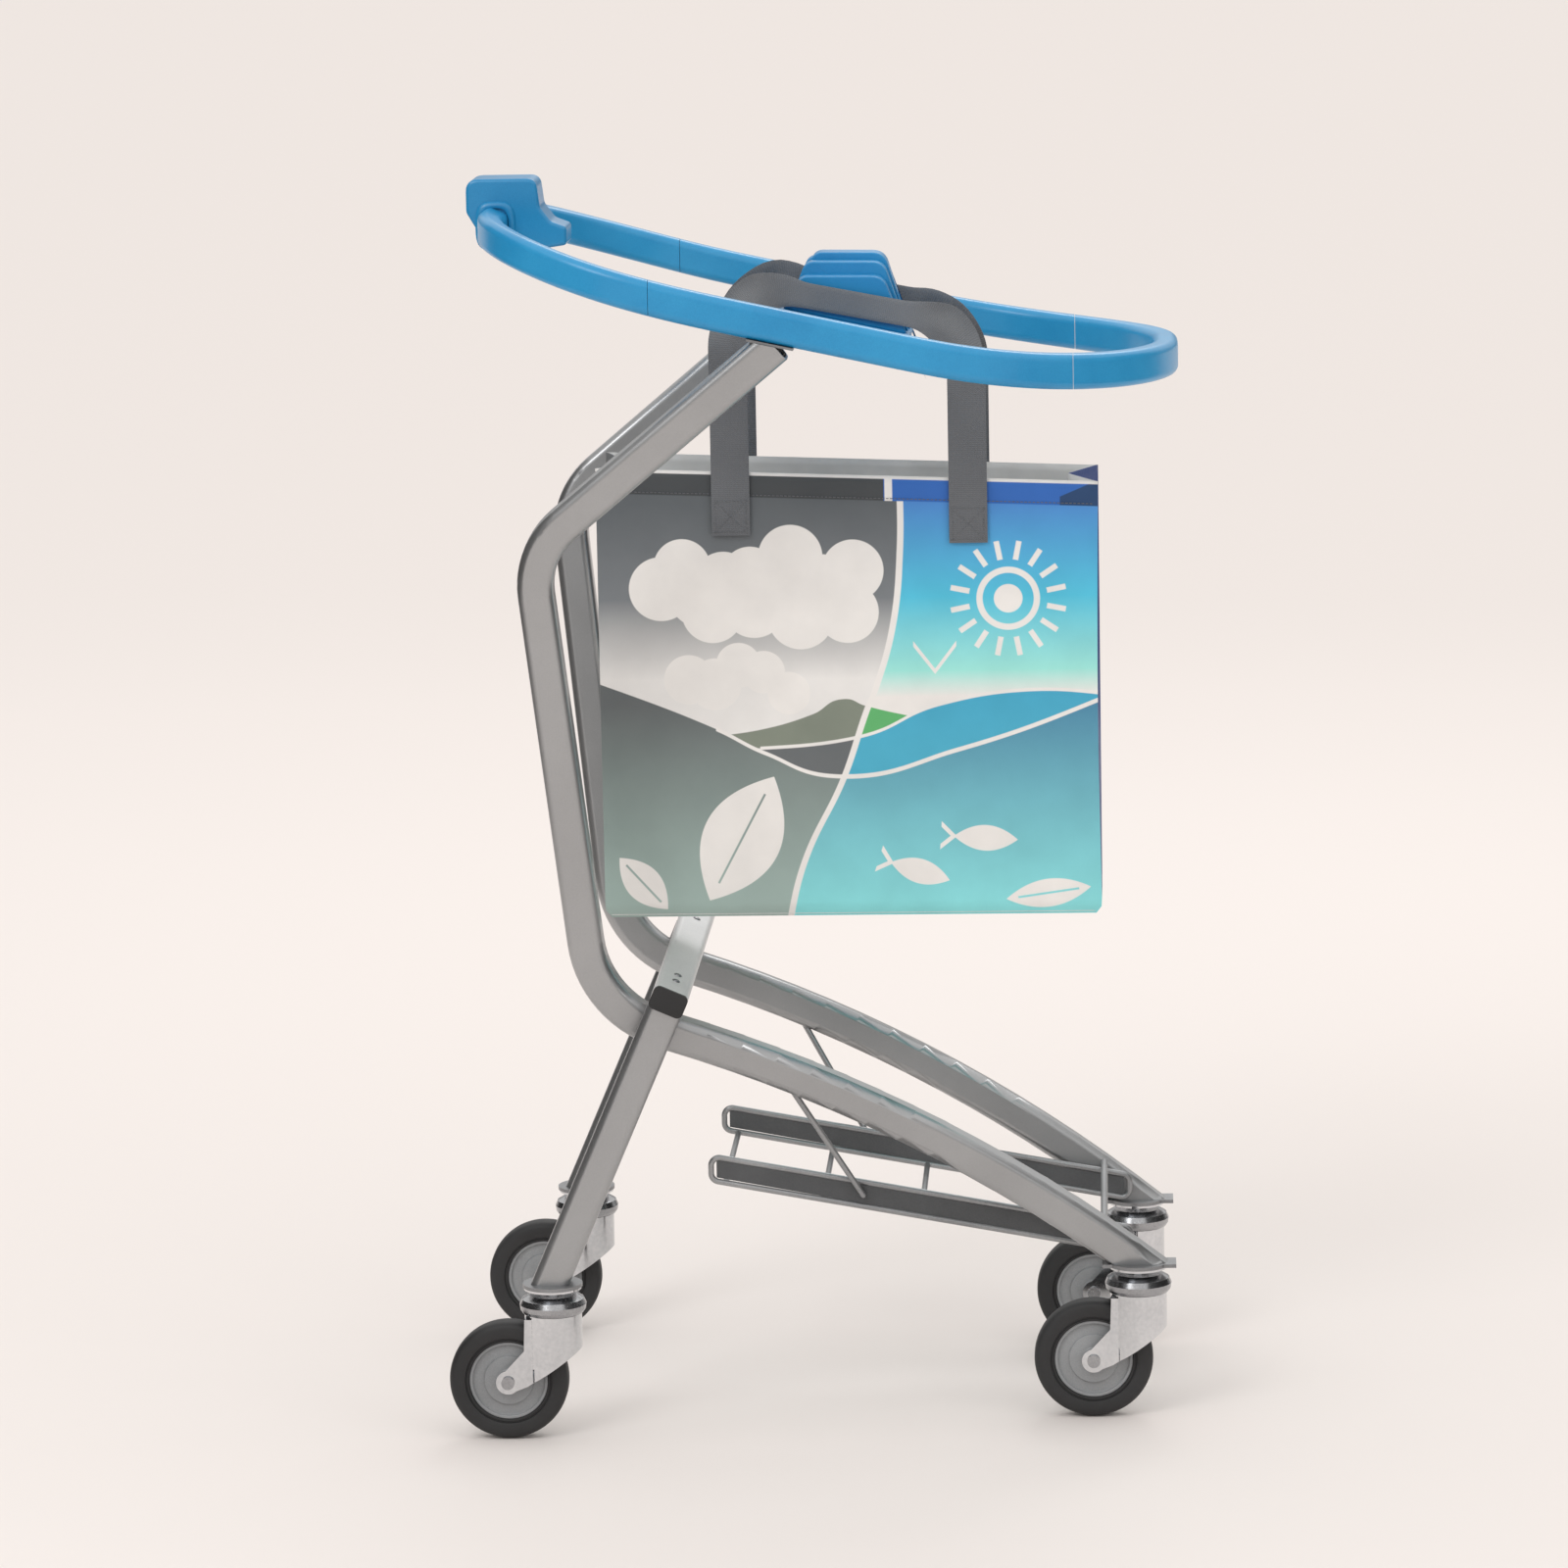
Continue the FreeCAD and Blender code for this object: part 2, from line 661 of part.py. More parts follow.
def rack_z(x):
    return rack_rear_z + rack_slope * (x - rack_rear_x)


def make_rack():
    x0 = rack_rear_x
    x1 = rack_front_x
    half = rack_height / 2 - wire_radius
    y = -rack_half_width
    corners = [Vec(x0 + wire_radius, y, rack_z(x0) + half),
               Vec(x1, y, rack_z(x1) + half), Vec(x1, y, rack_z(x1) - half),
               Vec(x0 + wire_radius, y, rack_z(x0) - half)]
    start = (corners[0] + corners[1]) * 0.5
    points = [start, corners[1], corners[2], corners[3], corners[0], start]
    edges = rounded_path(points, [7.0] * 4)
    along = corners[1] - corners[0]
    ring_profile = Part.Wire(Part.makeCircle(wire_radius, start, along))
    rim = sweep(edges, ring_profile)
    add_pair("rack_rim", rim)
    inset = wire_radius - 0.4
    panel_points = [(x0 + 2 * wire_radius + inset, rack_z(x0) + half - inset - 0.5),
                    (x1 - inset - 3, rack_z(x1) + half - inset),
                    (x1 - inset - 3, rack_z(x1) - half + inset),
                    (x0 + 2 * wire_radius + inset, rack_z(x0) - half + inset + 0.5)]
    panel = polygon_prism(panel_points, y - panel_thickness / 2, y + panel_thickness / 2).cut(rim)
    add_pair("rack_panel", max(panel.Solids, key=lambda s: s.Volume))
    rods = []
    reach = rack_half_width - wire_radius
    for step in rod_steps:
        x = x0 + step
        z = rack_z(x) - half
        rods.append(rod((x, -reach, z), (x, reach, z), rod_radius))
    add("rack_cross_rods", *rods)
    front_z = rack_z(x1 - 22) + half + wire_radius + 3.2
    span = front_stem_y - tube_width / 2 + 2
    outer = make_side_tube()[0]
    front = rod((x1 - 22, -span, front_z), (x1 - 22, span, front_z), front_rod_radius)
    front = front.cut(outer).cut(mirrored(outer))
    add("front_cross_rod", max(front.Solids, key=lambda s: s.Volume))
    top = Vec(stay_top[0], lean_y(stay_top[1]) + 2, stay_top[1])
    foot = Vec(stay_foot[0], -rack_half_width - wire_radius - 2.6, stay_foot[1])
    stay = rod(tuple(top), tuple(foot), rod_radius)
    hook = rod(tuple(foot), (foot.x, -rack_half_width - panel_thickness / 2, foot.z), rod_radius)
    stay = stay.fuse(Part.makeSphere(rod_radius, foot)).fuse(hook)
    stay = stay.cut(outer)
    add_pair("rack_stay", max(stay.removeSplitter().Solids, key=lambda s: s.Volume))


def make_casters():
    cups = []
    balls = []
    for end, x, y in (("rear", rear_stem_x, rear_stem_y), ("front", front_stem_x, front_stem_y)):
        for side, sign in (("right", -1), ("left", 1)):
            caster("caster_%s_%s" % (end, side), x, sign * y)
            cups.append(swivel_cup(x, sign * y))
            balls.extend(ball_ring(x, sign * y))
    add("swivel_cups", *cups)
    add("swivel_balls", *balls)


make_frame()
make_handle()
make_saddle()
make_bag()
make_rack()
make_casters()

os.makedirs("parts", exist_ok=True)
for name, shape in nodes.items():
    shape.exportStep("parts/%s.step" % name)
print(len(nodes), "nodes")
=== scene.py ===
import bpy, bmesh, math
from mathutils import Vector, Matrix, noise


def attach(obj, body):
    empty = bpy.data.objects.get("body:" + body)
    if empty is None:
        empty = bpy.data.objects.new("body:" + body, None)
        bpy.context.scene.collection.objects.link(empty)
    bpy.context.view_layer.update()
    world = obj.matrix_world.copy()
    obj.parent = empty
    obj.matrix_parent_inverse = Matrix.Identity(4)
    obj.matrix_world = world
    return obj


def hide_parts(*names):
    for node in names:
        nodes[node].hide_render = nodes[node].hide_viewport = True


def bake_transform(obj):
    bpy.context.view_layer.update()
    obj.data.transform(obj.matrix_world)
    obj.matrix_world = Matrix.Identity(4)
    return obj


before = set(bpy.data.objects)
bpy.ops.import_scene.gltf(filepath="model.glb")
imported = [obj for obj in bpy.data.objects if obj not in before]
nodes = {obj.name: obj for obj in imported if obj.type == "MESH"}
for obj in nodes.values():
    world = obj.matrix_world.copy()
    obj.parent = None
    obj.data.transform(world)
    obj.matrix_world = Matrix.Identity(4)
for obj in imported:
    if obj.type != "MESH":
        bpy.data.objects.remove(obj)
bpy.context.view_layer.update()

mm = 0.001
print("frame loaded:", len(nodes), "nodes")


# camera, floor and lights
view = {"place": (0.25088, -5.34176, 1.42617), "pitch": 0.167389, "yaw": 0.052313,
        "roll": -0.018827, "lens": 146.25}
light = {"world": 0.90, "horizon": 0.20, "floor": (0.86, 0.805, 0.775), "near": 0.90,
         "pool": (0.3, 4.0), "cards": (-1.7, 2.0),
         "key": 30, "fill": 7, "rim": 15}


def makeCamera():
    cp, sp = math.cos(view["pitch"]), math.sin(view["pitch"])
    cy, sy = math.cos(view["yaw"]), math.sin(view["yaw"])
    ahead = Vector((-sy * cp, cy * cp, -sp))
    right = Vector((cy, sy, 0))
    up = right.cross(ahead)
    cr, sr = math.cos(view["roll"]), math.sin(view["roll"])
    turn = Matrix((cr * right + sr * up, cr * up - sr * right, -ahead)).transposed()
    data = bpy.data.cameras.new("camera")
    data.lens, data.sensor_width, data.clip_end = view["lens"], 36, 200
    cam = bpy.data.objects.new("camera", data)
    cam.matrix_world = Matrix.Translation(view["place"]) @ turn.to_4x4()
    bpy.context.scene.collection.objects.link(cam)
    bpy.context.scene.camera = cam


def areaLight(name, place, target, size, power):
    data = bpy.data.lights.new(name, "AREA")
    data.shape, data.size, data.energy = "DISK", size, power
    obj = bpy.data.objects.new(name, data)
    aim = (Vector(target) - Vector(place)).to_track_quat("-Z", "Y")
    obj.matrix_world = Matrix.Translation(place) @ aim.to_matrix().to_4x4()
    bpy.context.scene.collection.objects.link(obj)


makeCamera()
bpy.context.scene.view_settings.view_transform = "Standard"   # colours show as they are painted
areaLight("keyLight", (-1.6, -2.6, 3.0), (0, 0, 0.55), 1.6, light["key"])
areaLight("fillLight", (2.8, -2.2, 1.6), (0, 0, 0.5), 1.8, light["fill"])
areaLight("rimLight", (0.4, 2.6, 2.8), (0, 0, 0.7), 1.4, light["rim"])
print("camera and lights ready")


# shader maths: a socket that can be added, multiplied and compared
class Wire:
    def __init__(self, graph, out):
        self.graph, self.out = graph, out

    def calc(self, op, *others):
        n = self.graph.tree.nodes.new("ShaderNodeMath")
        n.operation = op
        for i, value in enumerate((self,) + others):
            self.graph.feed(n.inputs[i], value)
        return Wire(self.graph, n.outputs[0])

    def __add__(self, o): return self.calc("ADD", o)
    def __radd__(self, o): return self.calc("ADD", o)
    def __sub__(self, o): return self.calc("SUBTRACT", o)
    def __rsub__(self, o): return self.calc("MULTIPLY", -1).calc("ADD", o)
    def __mul__(self, o): return self.calc("MULTIPLY", o)
    def __rmul__(self, o): return self.calc("MULTIPLY", o)
    def __truediv__(self, o): return self.calc("DIVIDE", o)
    def __abs__(self): return self.calc("ABSOLUTE")
    def low(self, o): return self.calc("MINIMUM", o)
    def high(self, o): return self.calc("MAXIMUM", o)
    def sine(self): return self.calc("SINE")


class Graph:
    def __init__(self, name):
        self.mat = bpy.data.materials.new(name)
        self.mat.use_nodes = True
        self.tree = self.mat.node_tree
        self.shader = self.tree.nodes["Principled BSDF"]

    def feed(self, socket, value):
        if isinstance(value, Wire):
            self.tree.links.new(value.out, socket)
        else:
            socket.default_value = value

    def make(self, kind, settings=None, inputs=None, out=0):
        n = self.tree.nodes.new(kind)
        for key, value in (settings or {}).items():
            setattr(n, key, value)
        for key, value in (inputs or {}).items():
            self.feed(n.inputs[key], value)
        return Wire(self, n.outputs[out])

    def place(self):
        here = self.make("ShaderNodeTexCoord", out="Object")
        n = self.tree.nodes.new("ShaderNodeSeparateXYZ")
        self.tree.links.new(here.out, n.inputs[0])
        return here, [Wire(self, n.outputs[i]) * 1000 for i in range(3)]

    def grain(self, where, scale, detail=3.0, rough=0.5):
        return self.make("ShaderNodeTexNoise", {}, {"Vector": where, "Scale": scale,
                         "Detail": detail, "Roughness": rough}, out=0)

    def span(self, value, a, b, c=0.0, d=1.0):
        return self.make("ShaderNodeMapRange", {"clamp": True},
                         {0: value, 1: a, 2: b, 3: c, 4: d})

    def mix(self, factor, a, b):
        return self.make("ShaderNodeMix", {"data_type": "RGBA"}, {0: factor, 6: a, 7: b}, out=2)

    def inside(self, distance, soft=0.35):   # 1 where distance is negative
        return self.span(distance, -soft, soft, 1.0, 0.0)

    def line(self, t, points, t0, t1, v0, v1):   # smooth curve through points, in mm
        n = self.tree.nodes.new("ShaderNodeFloatCurve")
        curve = n.mapping.curves[0]
        pts = [((p - t0) / (t1 - t0), (v - v0) / (v1 - v0)) for p, v in sorted(points)]
        curve.points[0].location, curve.points[1].location = pts[0], pts[-1]
        for p in pts[1:-1]:
            curve.points.new(*p)
        n.mapping.extend = "HORIZONTAL"
        n.mapping.update()
        self.feed(n.inputs[1], self.span(t, t0, t1))
        return Wire(self, n.outputs[0]) * (v1 - v0) + v0

    def bump(self, height, distance, strength=1.0):
        self.feed(self.shader.inputs["Normal"],
                  self.make("ShaderNodeBump", {}, {"Height": height, "Distance": distance,
                                                   "Strength": strength}))

    def put(self, **values):
        for key, value in values.items():
            self.feed(self.shader.inputs[key.replace("_", " ")], value)


def paint(r, g, b):
    def lin(c):
        c /= 255
        return c / 12.92 if c <= 0.04045 else ((c + 0.055) / 1.055) ** 2.4
    return (lin(r), lin(g), lin(b), 1.0)


# plain finishes: dark and light tint, roughness range, metal, bump in mm, coat
finishes = {
    "frameTube": dict(dark=(162, 163, 164), pale=(172, 173, 174),
        rough=(0.28, 0.34), metal=0.85, scale=900, bump=0.002),
    "crossbar": dict(dark=(206, 206, 206), pale=(226, 226, 226),
        rough=(0.32, 0.46), metal=0.55, scale=700, bump=0.01),
    "blackPlastic": dict(dark=(26, 26, 27), pale=(40, 40, 41),
        rough=(0.42, 0.58), metal=0, scale=1400, bump=0.03),
    "fasteners": dict(dark=(120, 121, 123), pale=(158, 159, 160),
        rough=(0.22, 0.36), metal=1, scale=800, bump=0.008),
    "plates": dict(dark=(132, 133, 135), pale=(160, 161, 163),
        rough=(0.34, 0.46), metal=0.9, scale=800, bump=0.01),
    "rackPanel": dict(dark=(66, 68, 70), pale=(88, 90, 92),
        rough=(0.45, 0.60), metal=0, scale=1200, bump=0.03),
    "rackWire": dict(dark=(138, 139, 141), pale=(170, 171, 172),
        rough=(0.30, 0.42), metal=0.7, scale=900, bump=0.01),
    "hoopBlue": dict(dark=(18, 132, 186), pale=(36, 150, 202),
        rough=(0.30, 0.42), metal=0, scale=1100, bump=0.018, coat=0.25),
    "blockBlue": dict(dark=(14, 122, 174), pale=(30, 138, 190),
        rough=(0.28, 0.40), metal=0, scale=1100, bump=0.018, coat=0.25),
    "saddleBlue": dict(dark=(14, 124, 182), pale=(30, 140, 196),
        rough=(0.30, 0.42), metal=0, scale=1100, bump=0.018, coat=0.2),
    "chrome": dict(dark=(196, 198, 201), pale=(222, 223, 225),
        rough=(0.04, 0.11), metal=1, scale=300, bump=0.003),
    "casterSteel": dict(dark=(150, 151, 154), pale=(182, 183, 185),
        rough=(0.18, 0.30), metal=1, scale=600, bump=0.006),
    "wheelHub": dict(dark=(132, 134, 136), pale=(154, 156, 158),
        rough=(0.36, 0.50), metal=0, scale=1000, bump=0.02),
    "tyreRubber": dict(dark=(32, 32, 33), pale=(49, 49, 50),
        rough=(0.52, 0.70), metal=0, scale=1500, bump=0.05),
    "bagBoard": dict(dark=(198, 198, 196), pale=(222, 222, 220),
        rough=(0.6, 0.75), metal=0, scale=500, bump=0.03),
}
mats = {}


def plainFinish(name, f):
    g = Graph(name)
    here, _ = g.place()
    fine = g.grain(here, f["scale"], 4.0)
    broad = g.grain(here, 9.0, 5.0, 0.6)      # handling wear and uneven colour
    tone = g.span(fine * 0.35 + broad * 0.65, 0.36, 0.64)
    g.put(Base_Color=g.mix(tone, paint(*f["dark"]), paint(*f["pale"])),
          Roughness=g.span(broad * 0.6 + fine * 0.4, 0.35, 0.65, *f["rough"]),
          Metallic=f["metal"])
    if f.get("coat"):
        g.shader.inputs["Coat Weight"].default_value = f["coat"]
        g.shader.inputs["Coat Roughness"].default_value = 0.18
    g.bump(fine, f["bump"] * mm)
    mats[name] = g.mat


for name, f in finishes.items():
    plainFinish(name, f)


webbing = {"dark": (82, 85, 89), "pale": (122, 125, 129), "rib": 1.6, "weft": 1.1, "gripPaintedLight": 0.28}


def webbingFinish():
    g = Graph("webbing")
    here, _ = g.place()
    uv = g.make("ShaderNodeUVMap", {"uv_map": "webbingUV"})
    n = g.tree.nodes.new("ShaderNodeSeparateXYZ")
    g.tree.links.new(uv.out, n.inputs[0])
    across, along = Wire(g, n.outputs[0]) * 1000, Wire(g, n.outputs[1]) * 1000   # mm
    ribs = (along * (2 * math.pi / webbing["rib"]) + (across * 2.6).sine() * 0.9).sine()
    weft = (across * (2 * math.pi / webbing["weft"])).sine()
    cloth = ribs * 0.5 + weft * 0.28
    fuzz = g.grain(here, 1900.0, 2.0)
    broad = g.grain(here, 14.0, 3.0)
    # painted light: the grip along the top is painted paler, standing in for the light on the straight
    # run against the shaded corners
    paintedGripLight = g.make("ShaderNodeAttribute", {"attribute_name": "grip"}, out="Fac")
    tone = g.span(cloth * 0.22 + fuzz * 0.5 + broad * 0.45 + paintedGripLight * webbing["gripPaintedLight"], 0.15, 0.95)
    g.put(Base_Color=g.mix(tone, paint(*webbing["dark"]), paint(*webbing["pale"])),
          Roughness=g.span(fuzz, 0.3, 0.7, 0.66, 0.84))
    g.shader.inputs["Sheen Weight"].default_value = 0.25
    g.shader.inputs["Sheen Roughness"].default_value = 0.5
    g.bump(cloth + fuzz * 0.5, 0.18 * mm)
    mats["webbing"] = g.mat


webbingFinish()


# the bag's print, laid out in mm over the front panel: x along, z up
bag = {"x": (-179.0, 241.0), "half": 58.6, "bottom": 418.5, "rear": 801.5, "front": 785.5,
       "hem": 21.0, "wall": 1.2, "gussetFold": 24.0, "bulge": 5.0,
       "wrinkle": 1.3}
artwork = {
    "divider": [(776, 75.5), (728, 74.8), (671, 69), (614, 53.3), (598, 46.4), (539, 25.6),
                (463, -10.4), (418, -22)],
    "land": [(-179, 618.5), (-82, 580), (-40, 558.6), (22, 538.7), (120, 560), (240, 601.4)],
    "shore": [(-51, 563), (37, 572), (108, 599.5), (180, 610.4), (241, 607)],
    "hill": [(-82, 574), (-40, 580), (0, 592), (27, 604.6), (43, 599), (94, 587)],
    "cloud": [(-126, 699, 27), (-108, 717, 24), (-73.5, 705, 25), (-51, 710, 24), (-17, 725, 27),
              (35, 713, 26), (30.5, 678, 26), (-9, 675, 28), (-83, 679, 26), (-48, 684, 27),
              (8, 700, 27), (-92, 694, 28), (-28, 703, 24)],
    "smallCloud": [(-104, 622, 21), (-62, 634, 19), (-41, 628, 18), (-82, 618, 22), (-20, 610, 18)],
    "sun": (165, 688), "sunRing": 24.0, "rays": 16, "bird": (103, 627),
    # rows of x, z, half length, half width, turn
    "fish": [(143.6, 484.7, 27, 11, -4), (88, 456.7, 26, 10.5, -18)],
    "leaves": [(-62, 486, 60, 33, 62), (-146, 448, 30, 15, -48), (196, 437, 36, 12, 8)],
}


def bagFinish():
    g = Graph("bagPrint")
    here, (x, y, z) = g.place()
    flat = g.make("ShaderNodeCombineXYZ", {}, {0: x, 1: z})

    def away(px, pz):
        return g.make("ShaderNodeVectorMath", {"operation": "DISTANCE"},
                      {0: flat, 1: (px, pz, 0)}, out="Value")

    def blobs(rows):
        d = None
        for px, pz, r in rows:
            one = away(px, pz) - r
            d = one if d is None else d.low(one)
        return d

    white = paint(240, 237, 233)
    split = g.line(z, artwork["divider"], 418, 776, -60, 100)
    land = g.line(x, artwork["land"], -179, 241, 500, 640)
    shore = g.line(x, artwork["shore"], -51, 241, 540, 630)
    hill = g.line(x, artwork["hill"], -82, 94, 550, 620)
    isRight = g.inside(split - x)
    upperLeft = g.mix(g.span(z, 772, 690), paint(92, 98, 102), paint(122, 127, 131))
    leftSky = g.mix(g.span(z, 690, 622), upperLeft, paint(236, 234, 231))
    upperRight = g.mix(g.span(z, 772, 690), paint(72, 138, 214), paint(78, 196, 226))
    rightSky = g.mix(g.span(z, 690, 628), upperRight, paint(160, 235, 225))
    rightSky = g.mix(g.span(z, 628, 606), rightSky, white)
    sea = g.mix(g.span(z, 612, 560), paint(62, 170, 205), paint(72, 178, 208))
    deep = g.mix(g.span(z, 600, 425), paint(70, 136, 170), paint(140, 226, 228))
    ground = g.mix(g.span(z, 600, 425), paint(98, 103, 104), paint(165, 187, 180))
    aboveShore = g.inside(shore - z)
    hillSide = g.inside(z - hill) * aboveShore
    left = g.mix(hillSide * g.inside(-82 - x), leftSky, paint(130, 138, 124))
    left = g.mix(g.inside(z - shore) * g.inside(-45 - x), left, paint(102, 107, 109))
    left = g.mix(g.inside(abs(z - shore) - 1.4) * g.inside(-45 - x), left, white)
    left = g.mix(g.inside(z - land), left, ground)
    left = g.mix(g.inside(abs(z - land) - 1.7) * g.inside(-82 - x), left, white)
    right = g.mix(aboveShore, sea, rightSky)
    right = g.mix(hillSide * g.inside(x - 94), right, paint(93, 180, 108))
    right = g.mix(g.inside(z - land), right, deep)
    cloud = g.inside(blobs(artwork["cloud"]))
    smallCloud = g.inside(blobs(artwork["smallCloud"]))
    left = g.mix(smallCloud * g.inside(hill - z) * g.inside(land - z), left, white)
    left = g.mix(cloud, left, white)
    # a plain sun: a ring, a disc and straight rays
    sx, sz = artwork["sun"]
    fromSun = away(sx, sz)
    angle = (z - sz).calc("ARCTAN2", x - sx) * (artwork["rays"] / (2 * math.pi))
    off = abs(angle.calc("FRACT") - 0.5) * (2 * math.pi / artwork["rays"]) * fromSun
    rays = g.inside(off - 2.3) * g.inside(33 - fromSun) * g.inside(fromSun - 49)
    ring = g.inside(abs(fromSun - artwork["sunRing"]) - 2.6)
    disc = g.inside(fromSun - 12)
    marks = rays.high(ring).high(disc)

    def turned(px, pz, degrees):                 # coordinates along and across a motif
        c, n = math.cos(math.radians(degrees)), math.sin(math.radians(degrees))
        dx, dz = x - px, z - pz
        return dx * c + dz * n, dz * c - dx * n

    for fx, fz, a, b, turn in artwork["fish"]:   # leaf-shaped fish with a forked tail
        u, w = turned(fx, fz, turn)
        body = g.inside(abs(w) - (1 - (u / a) * (u / a)) * b)
        tail = g.inside(abs(abs(w) + (u + a) * 0.9) - 2.4)
        tail = tail * g.inside(u + a * 0.86) * g.inside(-a * 1.4 - u)
        marks = marks.high(body * g.inside(abs(u) - a)).high(tail)
    leaves = None
    for lx, lz, a, b, turn in artwork["leaves"]:
        u, w = turned(lx, lz, turn)
        leaf = g.inside(abs(w) - (1 - (u / a) * (u / a)) * b) * g.inside(abs(u) - a)
        leaf = leaf * (1 - g.inside(abs(w) - 0.9) * g.inside(abs(u) - a * 0.72))
        leaves = leaf if leaves is None else leaves.high(leaf)
    bx, bz = artwork["bird"]
    bird = g.inside(abs(z - bz - abs(x - bx) * 1.3) - 2.3) * g.inside(abs(x - bx) - 18)
    marks = marks.high(bird).high(leaves)
    left = g.mix(leaves, left, white)
    marks = marks.high(g.inside(abs(z - shore) - 1.4) * g.inside(-51 - x))
    marks = marks.high(g.inside(abs(z - land) - 1.9) * g.inside(-82 - x))
    right = g.mix(marks, right, white)
    face = g.mix(isRight, left, right)
    face = g.mix(g.inside(abs(x - split) - 2.7), face, white)
    # hem band and white binding, following the rim
    rim = (x - bag["x"][0]) * ((bag["front"] - bag["rear"]) / 420.0) + bag["rear"]
    under = rim - z
    hemTint = g.mix(g.inside(62 - x), paint(66, 70, 73), paint(38, 104, 190))
    hemTint = g.mix(g.inside(abs(x - 66) - 3.2), hemTint, white)
    # a darker navy wedge at the right end of the hem band
    hemEndWedge = g.inside(z - 773 - (x - 209) * 0.42) * g.inside(209 - x)
    hemTint = g.mix(hemEndWedge, hemTint, paint(24, 66, 112))
    face = g.mix(g.inside(under - bag["hem"]), face, hemTint)
    face = g.mix(g.inside(under - 2.6), face, white)
    side = g.make("ShaderNodeAttribute", {"attribute_name": "gusset"}, out="Fac")
    face = g.mix(g.span(side, 0.4, 0.6), face, paint(28, 62, 128))
    face = g.mix(g.span(side, -0.4, -0.6), face, paint(70, 74, 77))
    weave = ((x + y) * (2 * math.pi / 0.9)).sine() * (z * (2 * math.pi / 0.9)).sine()
    soft = g.grain(here, 22.0, 4.0)
    shade = g.mix(g.span(soft, 0.3, 0.7, 0.0, 0.10), face, paint(60, 66, 72))
    g.put(Base_Color=shade, Roughness=g.span(soft + weave * 0.06, 0.3, 0.7, 0.52, 0.70))
    g.shader.inputs["Sheen Weight"].default_value = 0.12
    g.bump(weave * 0.5 + soft * 3.0, 0.10 * mm)
    mats["bagPrint"] = g.mat


def liningFinish():
    g = Graph("bagLining")
    here, (x, y, z) = g.place()
    weave = ((x + y) * (2 * math.pi / 0.9)).sine() * (z * (2 * math.pi / 0.9)).sine()
    soft = g.grain(here, 25.0, 4.0)
    g.put(Base_Color=g.mix(g.span(soft, 0.3, 0.7), paint(204, 204, 202), paint(224, 224, 222)),
          Roughness=g.span(soft, 0.3, 0.7, 0.6, 0.75))
    g.bump(weave * 0.5 + soft * 2, 0.10 * mm)
    mats["bagLining"] = g.mat


bagFinish()
liningFinish()


def floorFinish():
    g = Graph("paleFloor")
    here, _ = g.place()
    away = g.make("ShaderNodeVectorMath", {"operation": "LENGTH"}, {0: here}, out="Value")
    far = g.span(away + g.grain(here, 1.5, 2.0) * 0.2, *light["pool"])    # evens out the pool of light
    tint = light["floor"]
    near = tuple(c * light["near"] for c in tint)
    g.put(Base_Color=g.mix(far, near + (1,), tint + (1,)), Roughness=0.9)
    g.shader.inputs["Specular IOR Level"].default_value = 0.1
    return g.mat


def makeStage():
    mesh = bpy.data.meshes.new("floor")
    s = 60
    low = -0.0005
    corners = [(-s, -s, low), (s, -s, low), (s, s, low), (-s, s, low)]
    mesh.from_pydata(corners, [], [(0, 1, 2, 3)])
    floor = bpy.data.objects.new("floor", mesh)
    mesh.materials.append(floorFinish())
    bpy.context.scene.collection.objects.link(floor)
    # cards that only reflections see, for dark edges on metal
    for name, x in zip(("darkCardLeft", "darkCardRight"), light["cards"]):
        card = bpy.data.meshes.new(name)
        card.from_pydata([(x, -2.5, 0), (x, 1.5, 0), (x, 1.5, 2.2), (x, -2.5, 2.2)], [], [(0, 1, 2, 3)])
        g = Graph(name)
        g.put(Base_Color=(0.02, 0.02, 0.02, 1), Roughness=1.0)
        card.materials.append(g.mat)
        obj = bpy.data.objects.new(name, card)
        obj.visible_camera = obj.visible_diffuse = obj.visible_shadow = False
        bpy.context.scene.collection.objects.link(obj)
    world = bpy.data.worlds.new("studio")
    bpy.context.scene.world = world
    world.use_nodes = True
    tree = world.node_tree
    back = tree.nodes["Background"]
    back.inputs[1].default_value = light["world"]
    where, height = tree.nodes.new("ShaderNodeTexCoord"), tree.nodes.new("ShaderNodeSeparateXYZ")
    ramp = tree.nodes.new("ShaderNodeValToRGB")     # dim near the horizon, so metal has dark edges
    low = light["horizon"]
    ramp.color_ramp.elements[0].position, ramp.color_ramp.elements[0].color = 0.02, (low, low, low, 1)
    ramp.color_ramp.elements[1].position, ramp.color_ramp.elements[1].color = 0.34, (1.16, 1.14, 1.12, 1)
    tree.links.new(where.outputs["Generated"], height.inputs[0])
    tree.links.new(height.outputs[2], ramp.inputs[0])
    tree.links.new(ramp.outputs[0], back.inputs[0])


makeStage()
print("finishes ready:", len(mats))


# mesh helpers
def newPiece(name, verts, faces, body, slotName, finish, replaced=(), sharp=35):
    mesh = bpy.data.meshes.new(name)
    mesh.from_pydata([tuple(v) for v in verts], [], faces)
    b = bmesh.new()
    b.from_mesh(mesh)
    bmesh.ops.remove_doubles(b, verts=b.verts, dist=1e-6)
    bmesh.ops.recalc_face_normals(b, faces=b.faces)
    b.to_mesh(mesh)
    b.free()
    mesh.shade_smooth()
    mesh.set_sharp_from_angle(angle=math.radians(sharp))
    for f in (finish if isinstance(finish, (list, tuple)) else [finish]):
        mesh.materials.append(mats[f])
    obj = bpy.data.objects.new(name, mesh)
    bpy.context.scene.collection.objects.link(obj)
    if body:
        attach(obj, body)
    if replaced:
        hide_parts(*replaced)
    return obj


